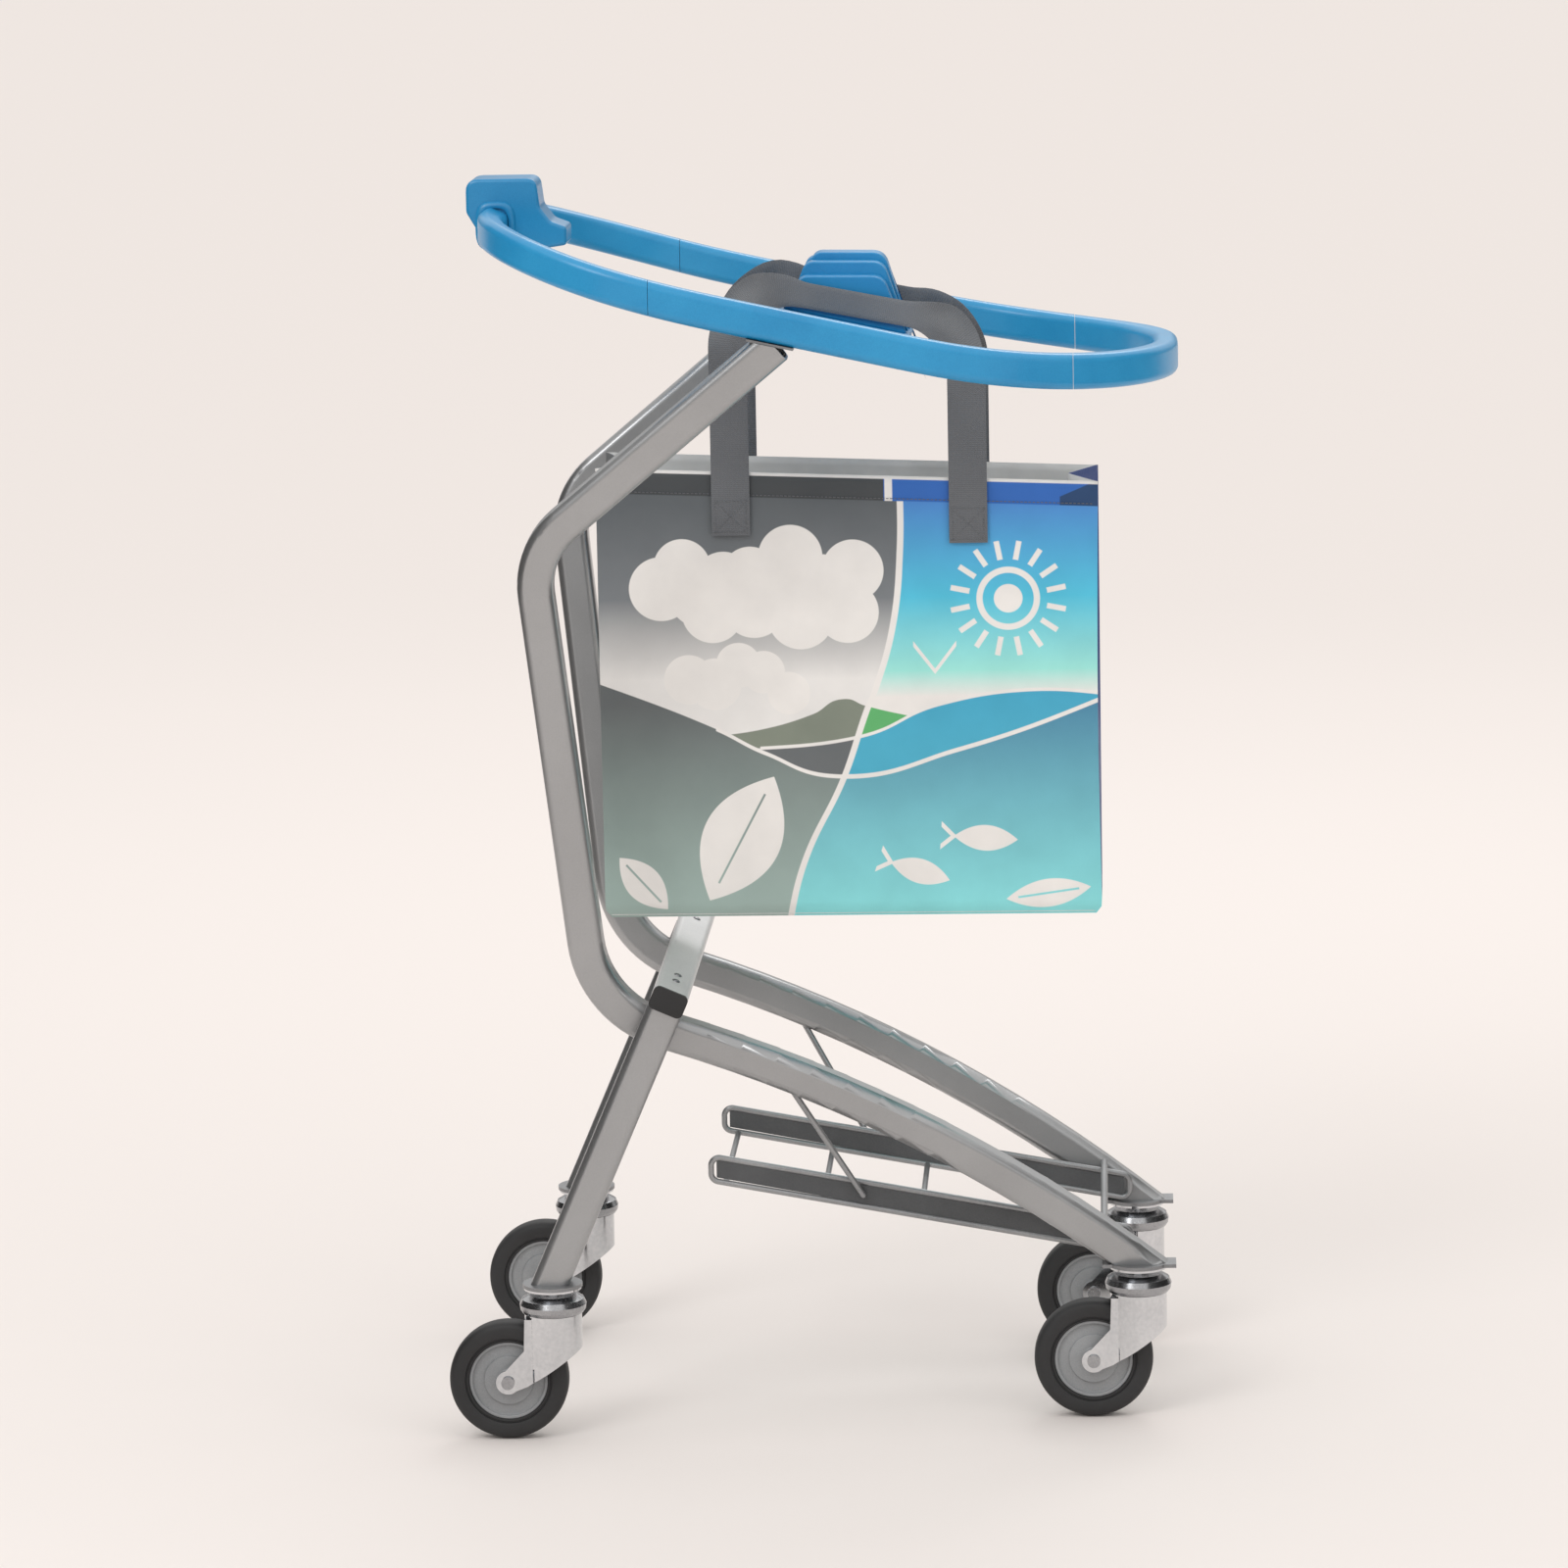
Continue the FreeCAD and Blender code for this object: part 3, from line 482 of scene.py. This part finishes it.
def ringFaces(rings, count, closed=False, caps=True):
    faces = []
    last = rings if closed else rings - 1
    for i in range(last):
        a, b = i * count, ((i + 1) % rings) * count
        for j in range(count):
            k = (j + 1) % count
            faces.append((a + j, a + k, b + k, b + j))
    if caps and not closed:
        faces.append(tuple(range(count))[::-1])
        faces.append(tuple((rings - 1) * count + j for j in range(count)))
    return faces


def lathe(centre, outline, axis="Y", count=96):
    verts = []
    for i in range(count):
        a = 2 * math.pi * i / count
        for r, w in outline:
            if axis == "Y":
                spot = (centre[0] + r * math.cos(a), centre[1] + w, centre[2] + r * math.sin(a))
            else:
                spot = (centre[0] + r * math.cos(a), centre[1] + r * math.sin(a), centre[2] + w)
            verts.append(Vector(spot) * mm)
    return verts, ringFaces(count, len(outline), closed=True)


def repaint(finish, *names):
    for name in names:
        mesh = nodes[name].data
        if not mesh.materials:
            mesh.materials.append(mats[finish])
        for s in nodes[name].material_slots:
            s.material = mats[finish]


def smoothStep(t):
    t = max(0.0, min(1.0, t))
    return t * t * (3 - 2 * t)


# CAD nodes that keep their shape take a better finish
pairs = ("right", "left")
repaint("frameTube", *["side_tube_" + s for s in pairs], *["rear_leg_" + s for s in pairs])
repaint("crossbar", "rear_crossbar")
repaint("blackPlastic", "crossbar_end_caps")
repaint("plates", "rear_foot_plates", "front_foot_plates", "tube_top_plates")
repaint("fasteners", "hoop_bolts", "saddle_screws")
repaint("hoopBlue", "hoop_nose", *["hoop_rail_" + s for s in pairs], *["hoop_tail_" + s for s in pairs])
repaint("saddleBlue", "saddle_base", "saddle_bridge")
repaint("bagBoard", "bag_base_board")
repaint("rackPanel", *["rack_panel_" + s for s in pairs])
repaint("rackWire", *["rack_rim_" + s for s in pairs], *["rack_stay_" + s for s in pairs],
        "rack_cross_rods", "front_cross_rod")
repaint("casterSteel", "swivel_cups", "swivel_balls")
casters = [("rear_right", -221, -178), ("rear_left", -221, 178),
           ("front_right", 268, -117), ("front_left", 268, 117)]
for which, _, _ in casters:
    repaint("chrome", "caster_%s_fork" % which, "caster_%s_stem" % which)
    repaint("casterSteel", "caster_%s_axle" % which)


# the bag: one lofted shell with folded gussets, a sewn hem and a closed base
def bagTop(x):
    x0, x1 = bag["x"]
    return bag["rear"] + (bag["front"] - bag["rear"]) * (x - x0) / (x1 - x0)


def makeBag():
    x0, x1 = bag["x"]
    h = bag["half"]
    nf, ng, levels = 84, 24, 56
    ring = []                                   # (side, share along it)
    ring += [("front", i / nf) for i in range(nf)]
    ring += [("right", i / ng) for i in range(ng)]
    ring += [("back", i / nf) for i in range(nf)]
    ring += [("left", i / ng) for i in range(ng)]
    verts = []
    for level in range(levels + 1):
        v = level / levels
        for side, t in ring:
            if side == "front":
                x, y = x0 + (x1 - x0) * t, -h
            elif side == "back":
                x, y = x1 - (x1 - x0) * t, h
            elif side == "right":
                x, y = x1, -h + 2 * h * t
            else:
                x, y = x0, h - 2 * h * t
            zTop = bagTop(x)
            z = bag["bottom"] + (zTop - bag["bottom"]) * v
            fold = bag["gussetFold"] * smoothStep((v - 0.35) / 0.65)
            inward = 1 - abs(2 * t - 1)
            if side == "right":
                x -= fold * inward + 2.0 * math.sin(math.pi * v) * (1 - inward)
            elif side == "left":
                x += fold * inward * 0.8
            else:
                out = math.sin(math.pi * t) * math.sin(math.pi * min(1, v / 0.83)) if v < 0.83 else 0
                crease = noise.noise(Vector((x * 0.011, z * 0.008, 3.7 if side == "front" else 9.1)))
                away = -1 if side == "front" else 1
                y += away * (bag["bulge"] * out * 0.6 + bag["wrinkle"] * crease * out)
                top = smoothStep((v - 0.945) / 0.006)
                y -= away * 0.35 * (1 - top)    # the hem stands a little proud
            rounded = smoothStep((0.022 - v) / 0.022) * 5.0
            x -= math.copysign(rounded, x - 31) if abs(x - 31) > 200 else 0
            y -= math.copysign(rounded, y) if abs(y) > h - 8 else 0
            verts.append(Vector((x, y, z)) * mm)
    count = len(ring)
    faces = ringFaces(levels + 1, count, caps=False)
    base = len(verts)                            # base: rings drawn in to a flat sheet
    for step in (0.85, 0.55, 0.2):
        for j in range(count):
            p = verts[j]
            verts.append(Vector((0.031 + (p.x - 0.031) * step, p.y * step, 0.4182 - 0.0012 * (1 - step))))
    for s in range(3):
        a = base + (s - 1) * count if s else 0
        b = base + s * count
        for j in range(count):
            k = (j + 1) % count
            faces.append((b + j, b + k, a + k, a + j))
    faces.append(tuple(base + 2 * count + j for j in range(count))[::-1])
    obj = newPiece("bagShell", verts, faces, None, "bag_fabric", ["bagPrint", "bagLining"], sharp=50)
    mesh = obj.data
    attr = mesh.attributes.new("gusset", "FLOAT", "FACE")
    for poly in mesh.polygons:
        c = poly.center
        n = poly.normal
        kind = 0.0
        if c.z > 0.4195 and abs(n.y) < 0.75:
            kind = 1.0 if c.x > 0.15 else (-1.0 if c.x < -0.1 else 0.0)
        attr.data[poly.index].value = kind
    solid = obj.modifiers.new("wall", "SOLIDIFY")
    solid.thickness = bag["wall"] * mm
    solid.offset = -1
    solid.material_offset = 1
    solid.material_offset_rim = 0
    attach(obj, "bag")
    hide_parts("bag_shell")
    return obj


makeBag()
print("bag done")


# webbing handles: full width on the legs, broad corners leaning in, a folded narrow grip
handle = {"x": (-66.0, 132.5), "y": 64.0, "top": (960.0, 921.0), "radius": (48.0, 54.0),
          "sewn": (744.0, 735.5), "thick": 2.2, "half": 16.0, "grip": (-13.0, 8.0),
          "corner": 17.0, "lean": 34.0,
          "gripStart": (-40.0, 122.0), "gripOver": (44.0, 40.0), "upright": (-24.0, 88.0), "fade": 24.0}


def handlePath():
    (xa, xb), (za, zb) = handle["x"], handle["top"]
    corners = [Vector((xa, 0, za)), Vector((xb, 0, zb))]
    before, after = Vector((xa, 0, handle["sewn"][0])), Vector((xb, 0, handle["sewn"][1]))
    points = [before]
    chain = [before] + corners + [after]
    for i, r in zip((1, 2), handle["radius"]):
        u = (chain[i - 1] - chain[i]).normalized()
        w = (chain[i + 1] - chain[i]).normalized()
        halfAngle = math.acos(max(-1, min(1, u.dot(w)))) / 2
        reach = r / math.tan(halfAngle)
        centre = chain[i] + (u + w).normalized() * (r / math.sin(halfAngle))
        a, b = chain[i] + u * reach - centre, chain[i] + w * reach - centre
        total = a.angle(b)
        for k in range(17):
            t = k / 16
            turned = a * math.sin((1 - t) * total) + b * math.sin(t * total)
            points.append(centre + turned / math.sin(total))
    points.append(after)
    fine = []                                    # even stations, about 4 mm apart
    for p, q in zip(points, points[1:]):
        n = max(1, int((q - p).length / 4))
        fine += [p + (q - p) * (i / n) for i in range(n)]
    return fine + [points[-1]]


def makeHandle(side, name):
    path = handlePath()
    across = 13
    verts, uvs, gripShare = [], [], []
    run = 0.0
    s = -1 if side == "right" else 1
    for i, p in enumerate(path):
        q = path[min(i + 1, len(path) - 1)] - path[max(i - 1, 0)]
        t = q.normalized()
        out = Vector((-t.z, 0, t.x))             # away from the arch's middle
        if i:
            run += (p - path[i - 1]).length
        level = abs(t.x)                         # 0 on the legs, 1 on the grip
        (ga, gb), (wa, wb) = handle["gripStart"], handle["gripOver"]
        gripLeft, gripRight = smoothStep((p.x - ga) / wa), smoothStep((gb - p.x) / wb)
        grip = gripLeft * gripRight * smoothStep((level - 0.5) / 0.4)
        corner = smoothStep(level / 0.55) * (1 - grip)
        low = -handle["half"] * (1 - grip) + handle["grip"][0] * grip
        high = handle["half"] * (1 - grip) + handle["grip"][1] * grip
        high += (handle["corner"] - handle["half"]) * corner
        # upright beside the saddle, so that the webbing never cuts into it
        (ua, ub), fade = handle["upright"], handle["fade"]
        clear = max(smoothStep((ua - p.x) / fade), smoothStep((p.x - ub) / fade))
        lean = handle["lean"] * corner * clear
        thick = handle["thick"] * (1 + 0.55 * grip)
        legIn = smoothStep((905 - p.z) / 60)     # the legs draw in to the bag face
        y0 = s * (handle["y"] - 3.0 * legIn)
        profile = []
        for j in range(across):
            a = j / (across - 1)
            inwards = lean * smoothStep((a - 0.25) / 0.75)
            profile.append((low + (high - low) * a, inwards, a))
        loop = []
        for o, inwards, a in profile:
            edge = thick / 2 * (0.55 if a in (0.0, 1.0) else 1.0)
            loop.append((p + out * o + Vector((0, y0 - s * inwards + s * edge, 0)), o + 20))
        for o, inwards, a in reversed(profile):
            edge = thick / 2 * (0.55 if a in (0.0, 1.0) else 1.0)
            loop.append((p + out * o + Vector((0, y0 - s * inwards - s * edge, 0)), o + 60))
        for place, u in loop:
            verts.append(place * mm)
            uvs.append((u * mm, run * mm))
            gripShare.append(grip)
    count = across * 2
    faces = ringFaces(len(path), count)
    obj = newPiece(name, verts, faces, None, "webbing", "webbing", sharp=50)
    mesh = obj.data
    layer = mesh.uv_layers.new(name="webbingUV")
    for loop in mesh.loops:
        layer.data[loop.index].uv = uvs[loop.vertex_index]
    attr = mesh.attributes.new("grip", "FLOAT", "POINT")
    for i, share in enumerate(gripShare):
        attr.data[i].value = share
    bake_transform(obj)
    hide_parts("bag_strap_arch_" + side, "bag_strap_legs_" + side)
    return obj


makeHandle("right", "handleRight")
makeHandle("left", "handleLeft")
print("webbing handles done")


# Geometry Nodes: rows of stitches along edges, and domed heads on points
def openTree(name, sizes):
    tree = bpy.data.node_groups.new(name, "GeometryNodeTree")
    tree.interface.new_socket("Geometry", in_out="INPUT", socket_type="NodeSocketGeometry")
    tree.interface.new_socket("Geometry", in_out="OUTPUT", socket_type="NodeSocketGeometry")
    for key, kind in sizes:
        tree.interface.new_socket(key, in_out="INPUT", socket_type=kind)
    return tree, tree.nodes.new("NodeGroupInput"), tree.nodes.new("NodeGroupOutput")


def closeTree(tree, geometry, start, end):
    real = tree.nodes.new("GeometryNodeRealizeInstances")
    finish = tree.nodes.new("GeometryNodeSetMaterial")
    tree.links.new(geometry, real.inputs[0])
    tree.links.new(real.outputs[0], finish.inputs["Geometry"])
    tree.links.new(start.outputs["Finish"], finish.inputs["Material"])
    tree.links.new(finish.outputs[0], end.inputs[0])


def stitchTree():
    tree, start, end = openTree("stitchRow", [("Pitch", "NodeSocketFloat"), ("Length", "NodeSocketFloat"),
                                              ("Thread", "NodeSocketFloat"), ("Seed", "NodeSocketInt"),
                                              ("Finish", "NodeSocketMaterial")])
    link, new = tree.links.new, tree.nodes.new
    curve, even = new("GeometryNodeMeshToCurve"), new("GeometryNodeResampleCurve")
    onPoints = new("GeometryNodeInstanceOnPoints")
    even.mode = "LENGTH"
    thread, tangent = new("GeometryNodeMeshCylinder"), new("GeometryNodeInputTangent")
    align = new("FunctionNodeAlignRotationToVector")
    thread.inputs["Vertices"].default_value = 6
    vary = new("FunctionNodeRandomValue")
    vary.data_type = "FLOAT"
    for s in vary.inputs:
        if s.name == "Min" and s.type == "VALUE": s.default_value = 0.86
        if s.name == "Max" and s.type == "VALUE": s.default_value = 1.08
        if s.name == "Seed": link(start.outputs["Seed"], s)
    scale = new("ShaderNodeCombineXYZ")
    scale.inputs[0].default_value = scale.inputs[1].default_value = 1
    link([o for o in vary.outputs if o.type == "VALUE"][0], scale.inputs[2])
    link(start.outputs["Geometry"], curve.inputs[0])
    link(curve.outputs[0], even.inputs["Curve"])
    link(start.outputs["Pitch"], even.inputs["Length"])
    link(start.outputs["Thread"], thread.inputs["Radius"])
    link(start.outputs["Length"], thread.inputs["Depth"])
    align.axis = "Z"
    link(tangent.outputs[0], align.inputs["Vector"])
    link(even.outputs[0], onPoints.inputs["Points"])
    link(thread.outputs["Mesh"], onPoints.inputs["Instance"])
    link(align.outputs[0], onPoints.inputs["Rotation"])
    link(scale.outputs[0], onPoints.inputs["Scale"])
    closeTree(tree, onPoints.outputs[0], start, end)
    return tree


def headTree():
    sizes = [("Radius", "NodeSocketFloat"), ("Height", "NodeSocketFloat"),
             ("Tilt", "NodeSocketVector"), ("Finish", "NodeSocketMaterial")]
    tree, start, end = openTree("rivetHeads", sizes)
    link, new = tree.links.new, tree.nodes.new
    ball, flatten, size, onPoints = (new("GeometryNodeMeshUVSphere"), new("GeometryNodeTransform"),
                                     new("ShaderNodeCombineXYZ"), new("GeometryNodeInstanceOnPoints"))
    toPoints = new("GeometryNodeMeshToPoints")
    ball.inputs["Segments"].default_value, ball.inputs["Rings"].default_value = 24, 12
    ball.inputs["Radius"].default_value = 1
    link(start.outputs["Radius"], size.inputs[0])
    link(start.outputs["Radius"], size.inputs[1])
    link(start.outputs["Height"], size.inputs[2])
    link(ball.outputs["Mesh"], flatten.inputs[0])
    link(size.outputs[0], flatten.inputs["Scale"])
    link(start.outputs["Tilt"], flatten.inputs["Rotation"])
    link(start.outputs["Geometry"], toPoints.inputs[0])
    link(toPoints.outputs[0], onPoints.inputs["Points"])
    link(flatten.outputs[0], onPoints.inputs["Instance"])
    closeTree(tree, onPoints.outputs[0], start, end)
    return tree


def growPiece(name, tree, verts, edges, values, body, replaced=()):
    mesh = bpy.data.meshes.new(name + "Guide")
    mesh.from_pydata([tuple(v) for v in verts], edges, [])
    guide = bpy.data.objects.new(name + "Guide", mesh)
    bpy.context.scene.collection.objects.link(guide)
    mod = guide.modifiers.new("grow", "NODES")
    mod.node_group = tree
    for item in tree.interface.items_tree:
        if item.item_type == "SOCKET" and item.in_out == "INPUT" and item.name in values:
            mod[item.identifier] = values[item.name]
    bpy.context.view_layer.update()
    made = bpy.data.meshes.new_from_object(guide.evaluated_get(bpy.context.evaluated_depsgraph_get()))
    made.name = name
    guide.modifiers.remove(mod)
    bpy.data.objects.remove(guide)
    made.shade_smooth()
    obj = bpy.data.objects.new(name, made)
    bpy.context.scene.collection.objects.link(obj)
    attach(obj, body)
    if replaced:
        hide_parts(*replaced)
    return obj


stitches = {"pitch": 3.4, "length": 2.4, "thread": 0.32, "seed": 5, "inset": 3.0, "box": 26.0}


def makeStitches():
    verts, edges = [], []

    def row(points):
        first = len(verts)
        verts.extend(Vector(p) * mm for p in points)
        edges.extend((first + i, first + i + 1) for i in range(len(points) - 1))

    for y in (-1, 1):                            # hem seam, front and back
        face = y * (bag["half"] + 0.1)
        xs = [bag["x"][0] + 6 + i * 8 for i in range(52)]
        row([(x, face, bagTop(x) - bag["hem"] + 2) for x in xs if x < bag["x"][1] - 5])
        for x, sewn in zip(handle["x"], handle["sewn"]):    # a sewn box with a cross at each foot
            a, b = x - handle["half"] + stitches["inset"], x + handle["half"] - stitches["inset"]
            low, high = sewn + 3, sewn + 3 + stitches["box"]
            out = y * (handle["y"] - 3 + handle["thick"] / 2 + 0.1)
            row([(a, out, low), (b, out, low), (b, out, high), (a, out, high), (a, out, low)])
            row([(a, out, low), (b, out, high)])
            row([(b, out, low), (a, out, high)])
    growPiece("bagStitches", stitchTree(), verts, edges,
              {"Pitch": stitches["pitch"] * mm, "Length": stitches["length"] * mm,
               "Thread": stitches["thread"] * mm, "Seed": stitches["seed"], "Finish": mats["webbing"]},
              "bag")


makeStitches()

rivets = {"radius": 3.5, "height": 1.6, "y": (-150, -126, 126, 150),
          "foot": (-114.02, 382.17), "tilt": 23.45}


def makeRivets():
    x, z = rivets["foot"]
    verts = [Vector((x, y, z)) * mm for y in rivets["y"]]
    growPiece("crossbarRivets", headTree(), verts, [],
              {"Radius": rivets["radius"] * mm, "Height": rivets["height"] * mm,
               "Tilt": (0, math.radians(rivets["tilt"]), 0), "Finish": mats["fasteners"]},
              "frame", ("crossbar_rivets",))


makeRivets()
print("stitches and rivets done")


# moulded saddle: five lobes stepping down to the sides, each row: outer edge, setback, drop
saddle = {"x": (-22.0, 86.0), "top": 976.0, "round": 2.4,
          "lobes": ((14.0, 12.0, 0.0), (36.0, 6.0, 6.0), (60.0, 3.0, 16.0))}


def bevelled(name, prisms, body, slotName, finish, replaced, width, segments=4):
    verts, faces = [], []
    for outline, y0, y1 in prisms:
        first, n = len(verts), len(outline)
        for y in (y0, y1):
            verts += [Vector((x, y, z)) * mm for x, z in outline]
        for i in range(n):
            k = (i + 1) % n
            faces.append((first + i, first + k, first + n + k, first + n + i))
        faces += [tuple(first + i for i in range(n))[::-1], tuple(first + n + i for i in range(n))]
    obj = newPiece(name, verts, faces, body, slotName, finish, replaced, sharp=180)
    bevel = obj.modifiers.new("edges", "BEVEL")
    bevel.width, bevel.segments, bevel.limit_method = width * mm, segments, "ANGLE"
    bevel.angle_limit = math.radians(24)
    bevel.harden_normals = True
    return obj


def roundCorners(points, radii, steps=6):
    out = []
    n = len(points)
    for i, ((x, z), r) in enumerate(zip(points, radii)):
        p = Vector((x, z))
        a, b = Vector(points[i - 1]) - p, Vector(points[(i + 1) % n]) - p
        if r <= 0:
            out.append((x, z))
            continue
        half = a.angle(b) / 2
        reach = min(r / math.tan(half), a.length * 0.48, b.length * 0.48)
        p1, p2 = p + a.normalized() * reach, p + b.normalized() * reach
        for k in range(steps + 1):
            t = k / steps
            q = p1 * (1 - t) ** 2 + p * 2 * t * (1 - t) + p2 * t * t
            out.append((q.x, q.y))
    return out


def railHeight(x):
    z = 930.6 - 0.22 * (x + 10)
    return z + max(-60 - x, 0) ** 2 / 2380 + max(x - 90, 0) ** 2 / 1860


def makeSaddle():
    x0, x1 = saddle["x"]
    prisms = []
    inner = 0.0
    for outer, setback, drop in saddle["lobes"]:
        lowX, top = x0 + setback, saddle["top"] - drop
        outline = [(lowX, railHeight(lowX) + 1), (lowX + 15, top),
                   (x1 - 22, top - 1), (x1 - 2.4, railHeight(x1) + 1)]
        shape = roundCorners(outline, (0, 10, 14, 0))
        if inner == 0:
            prisms.append((shape, -outer, outer))
        else:
            prisms += [(shape, -outer, -inner), (shape, inner, outer)]
        inner = outer
    return bevelled("saddleHump", prisms, "frame", "blue_saddle", "saddleBlue",
                    ("saddle_hump",), saddle["round"])


makeSaddle()

block = {"x": (-285.0, -226.0), "half": 26.0, "top": 1042.0, "flare": -201.0, "foot": 981.0, "round": 4.5}


def makeBlock():
    x0, x1 = block["x"]
    outline = [(x0, block["top"]), (x1, block["top"]), (x1 + 3, 1018), (x1 + 12, 1006),
               (block["flare"], 1001), (block["flare"], block["foot"] + 5), (x1 - 8, block["foot"]),
            (x0 + 24, block["foot"] + 3),
               (x0 + 10, 997), (x0, 1014)]
    shape = roundCorners(outline, (11, 9, 10, 8, 4, 4, 6, 8, 8, 8))
    bevelled("handleBlock", [(shape, -block["half"], block["half"])], "frame", "blue_block", "blockBlue",
             ("handle_block", "handle_block_lid"), block["round"], 5)
    # round-mouthed sockets that the hoop's two ends go into
    for s, name in ((-1, "socketRight"), (1, "socketLeft")):
        verts = []
        steps = 40
        cz = railHeight(-260.5)
        for grow, y in ((6.5, 24.0), (6.2, 27.0), (4.6, 28.6), (2.2, 29.2), (0.8, 28.6), (0.6, 24.0)):
            for k in range(steps):
                a = 2 * math.pi * k / steps
                c, n = math.cos(a), math.sin(a)
                p = 0.62
                verts.append(Vector((-260.5 + math.copysign(abs(c) ** p, c) * (10.5 + grow), s * y,
                                     cz + math.copysign(abs(n) ** p, n) * (14.5 + grow))) * mm)
        newPiece(name, verts, ringFaces(6, steps, caps=False),
                 "frame", "blue_block", "blockBlue", sharp=60)


makeBlock()
print("saddle and handle block done")


# casters: rubber tyre with grooves, stepped hub, pressed dust cap
wheel = {"radius": 50.0, "trail": 38.0}


def makeWheels():
    tyre = [(33, -10), (33.8, -10.9), (34.6, -10.9), (35.0, -9.9), (36.0, -9.9), (36.6, -11.3),
            (38, -11.8),
            (42, -12), (45.4, -11.8), (47.4, -10.9), (48.9, -9.2), (49.7, -6.8), (50, -4), (50, 4),
            (49.7, 6.8), (48.9, 9.2), (47.4, 10.9), (45.4, 11.8), (42, 12), (38, 11.8),
            (36.6, 11.3), (36.0, 9.9), (35.0, 9.9), (34.6, 10.9), (33.8, 10.9), (33, 10)]
    half = [(4.4, 13), (8.6, 13), (9.5, 12.1), (9.6, 10.4), (10.4, 9.8), (20.2, 8.9),
            (20.9, 8.2), (21.2, 6.8), (22, 6.4), (29.3, 6.4), (30.0, 6.8), (30.4, 8.8), (31.0, 9.2),
            (32.6, 9.2), (33, 8.8)]
    hub = [(r, -w) for r, w in half] + [(r, w) for r, w in reversed(half)]
    for which, x, y in casters:
        centre = (x - wheel["trail"], y, wheel["radius"])
        body = "wheel_" + which
        newPiece("tyre_" + which, *lathe(centre, tyre), body, "wheel_tyre", "tyreRubber",
                 ("caster_%s_tyre" % which,), sharp=28)
        newPiece("hub_" + which, *lathe(centre, hub), body, "wheel_hub", "wheelHub",
                 ("caster_%s_hub" % which,), sharp=28)
        cap = [(20.5, 106.3), (22.6, 106.3), (23.7, 107.0), (23.9, 108.2),
               (23.1, 109.4), (21.6, 109.9), (20.5, 109.2)]
        newPiece("dustCap_" + which, *lathe((x, y, 0), cap, "Z"), "swivel_" + which,
                 "caster_chrome", "chrome", sharp=60)


makeWheels()
print("wheels done")
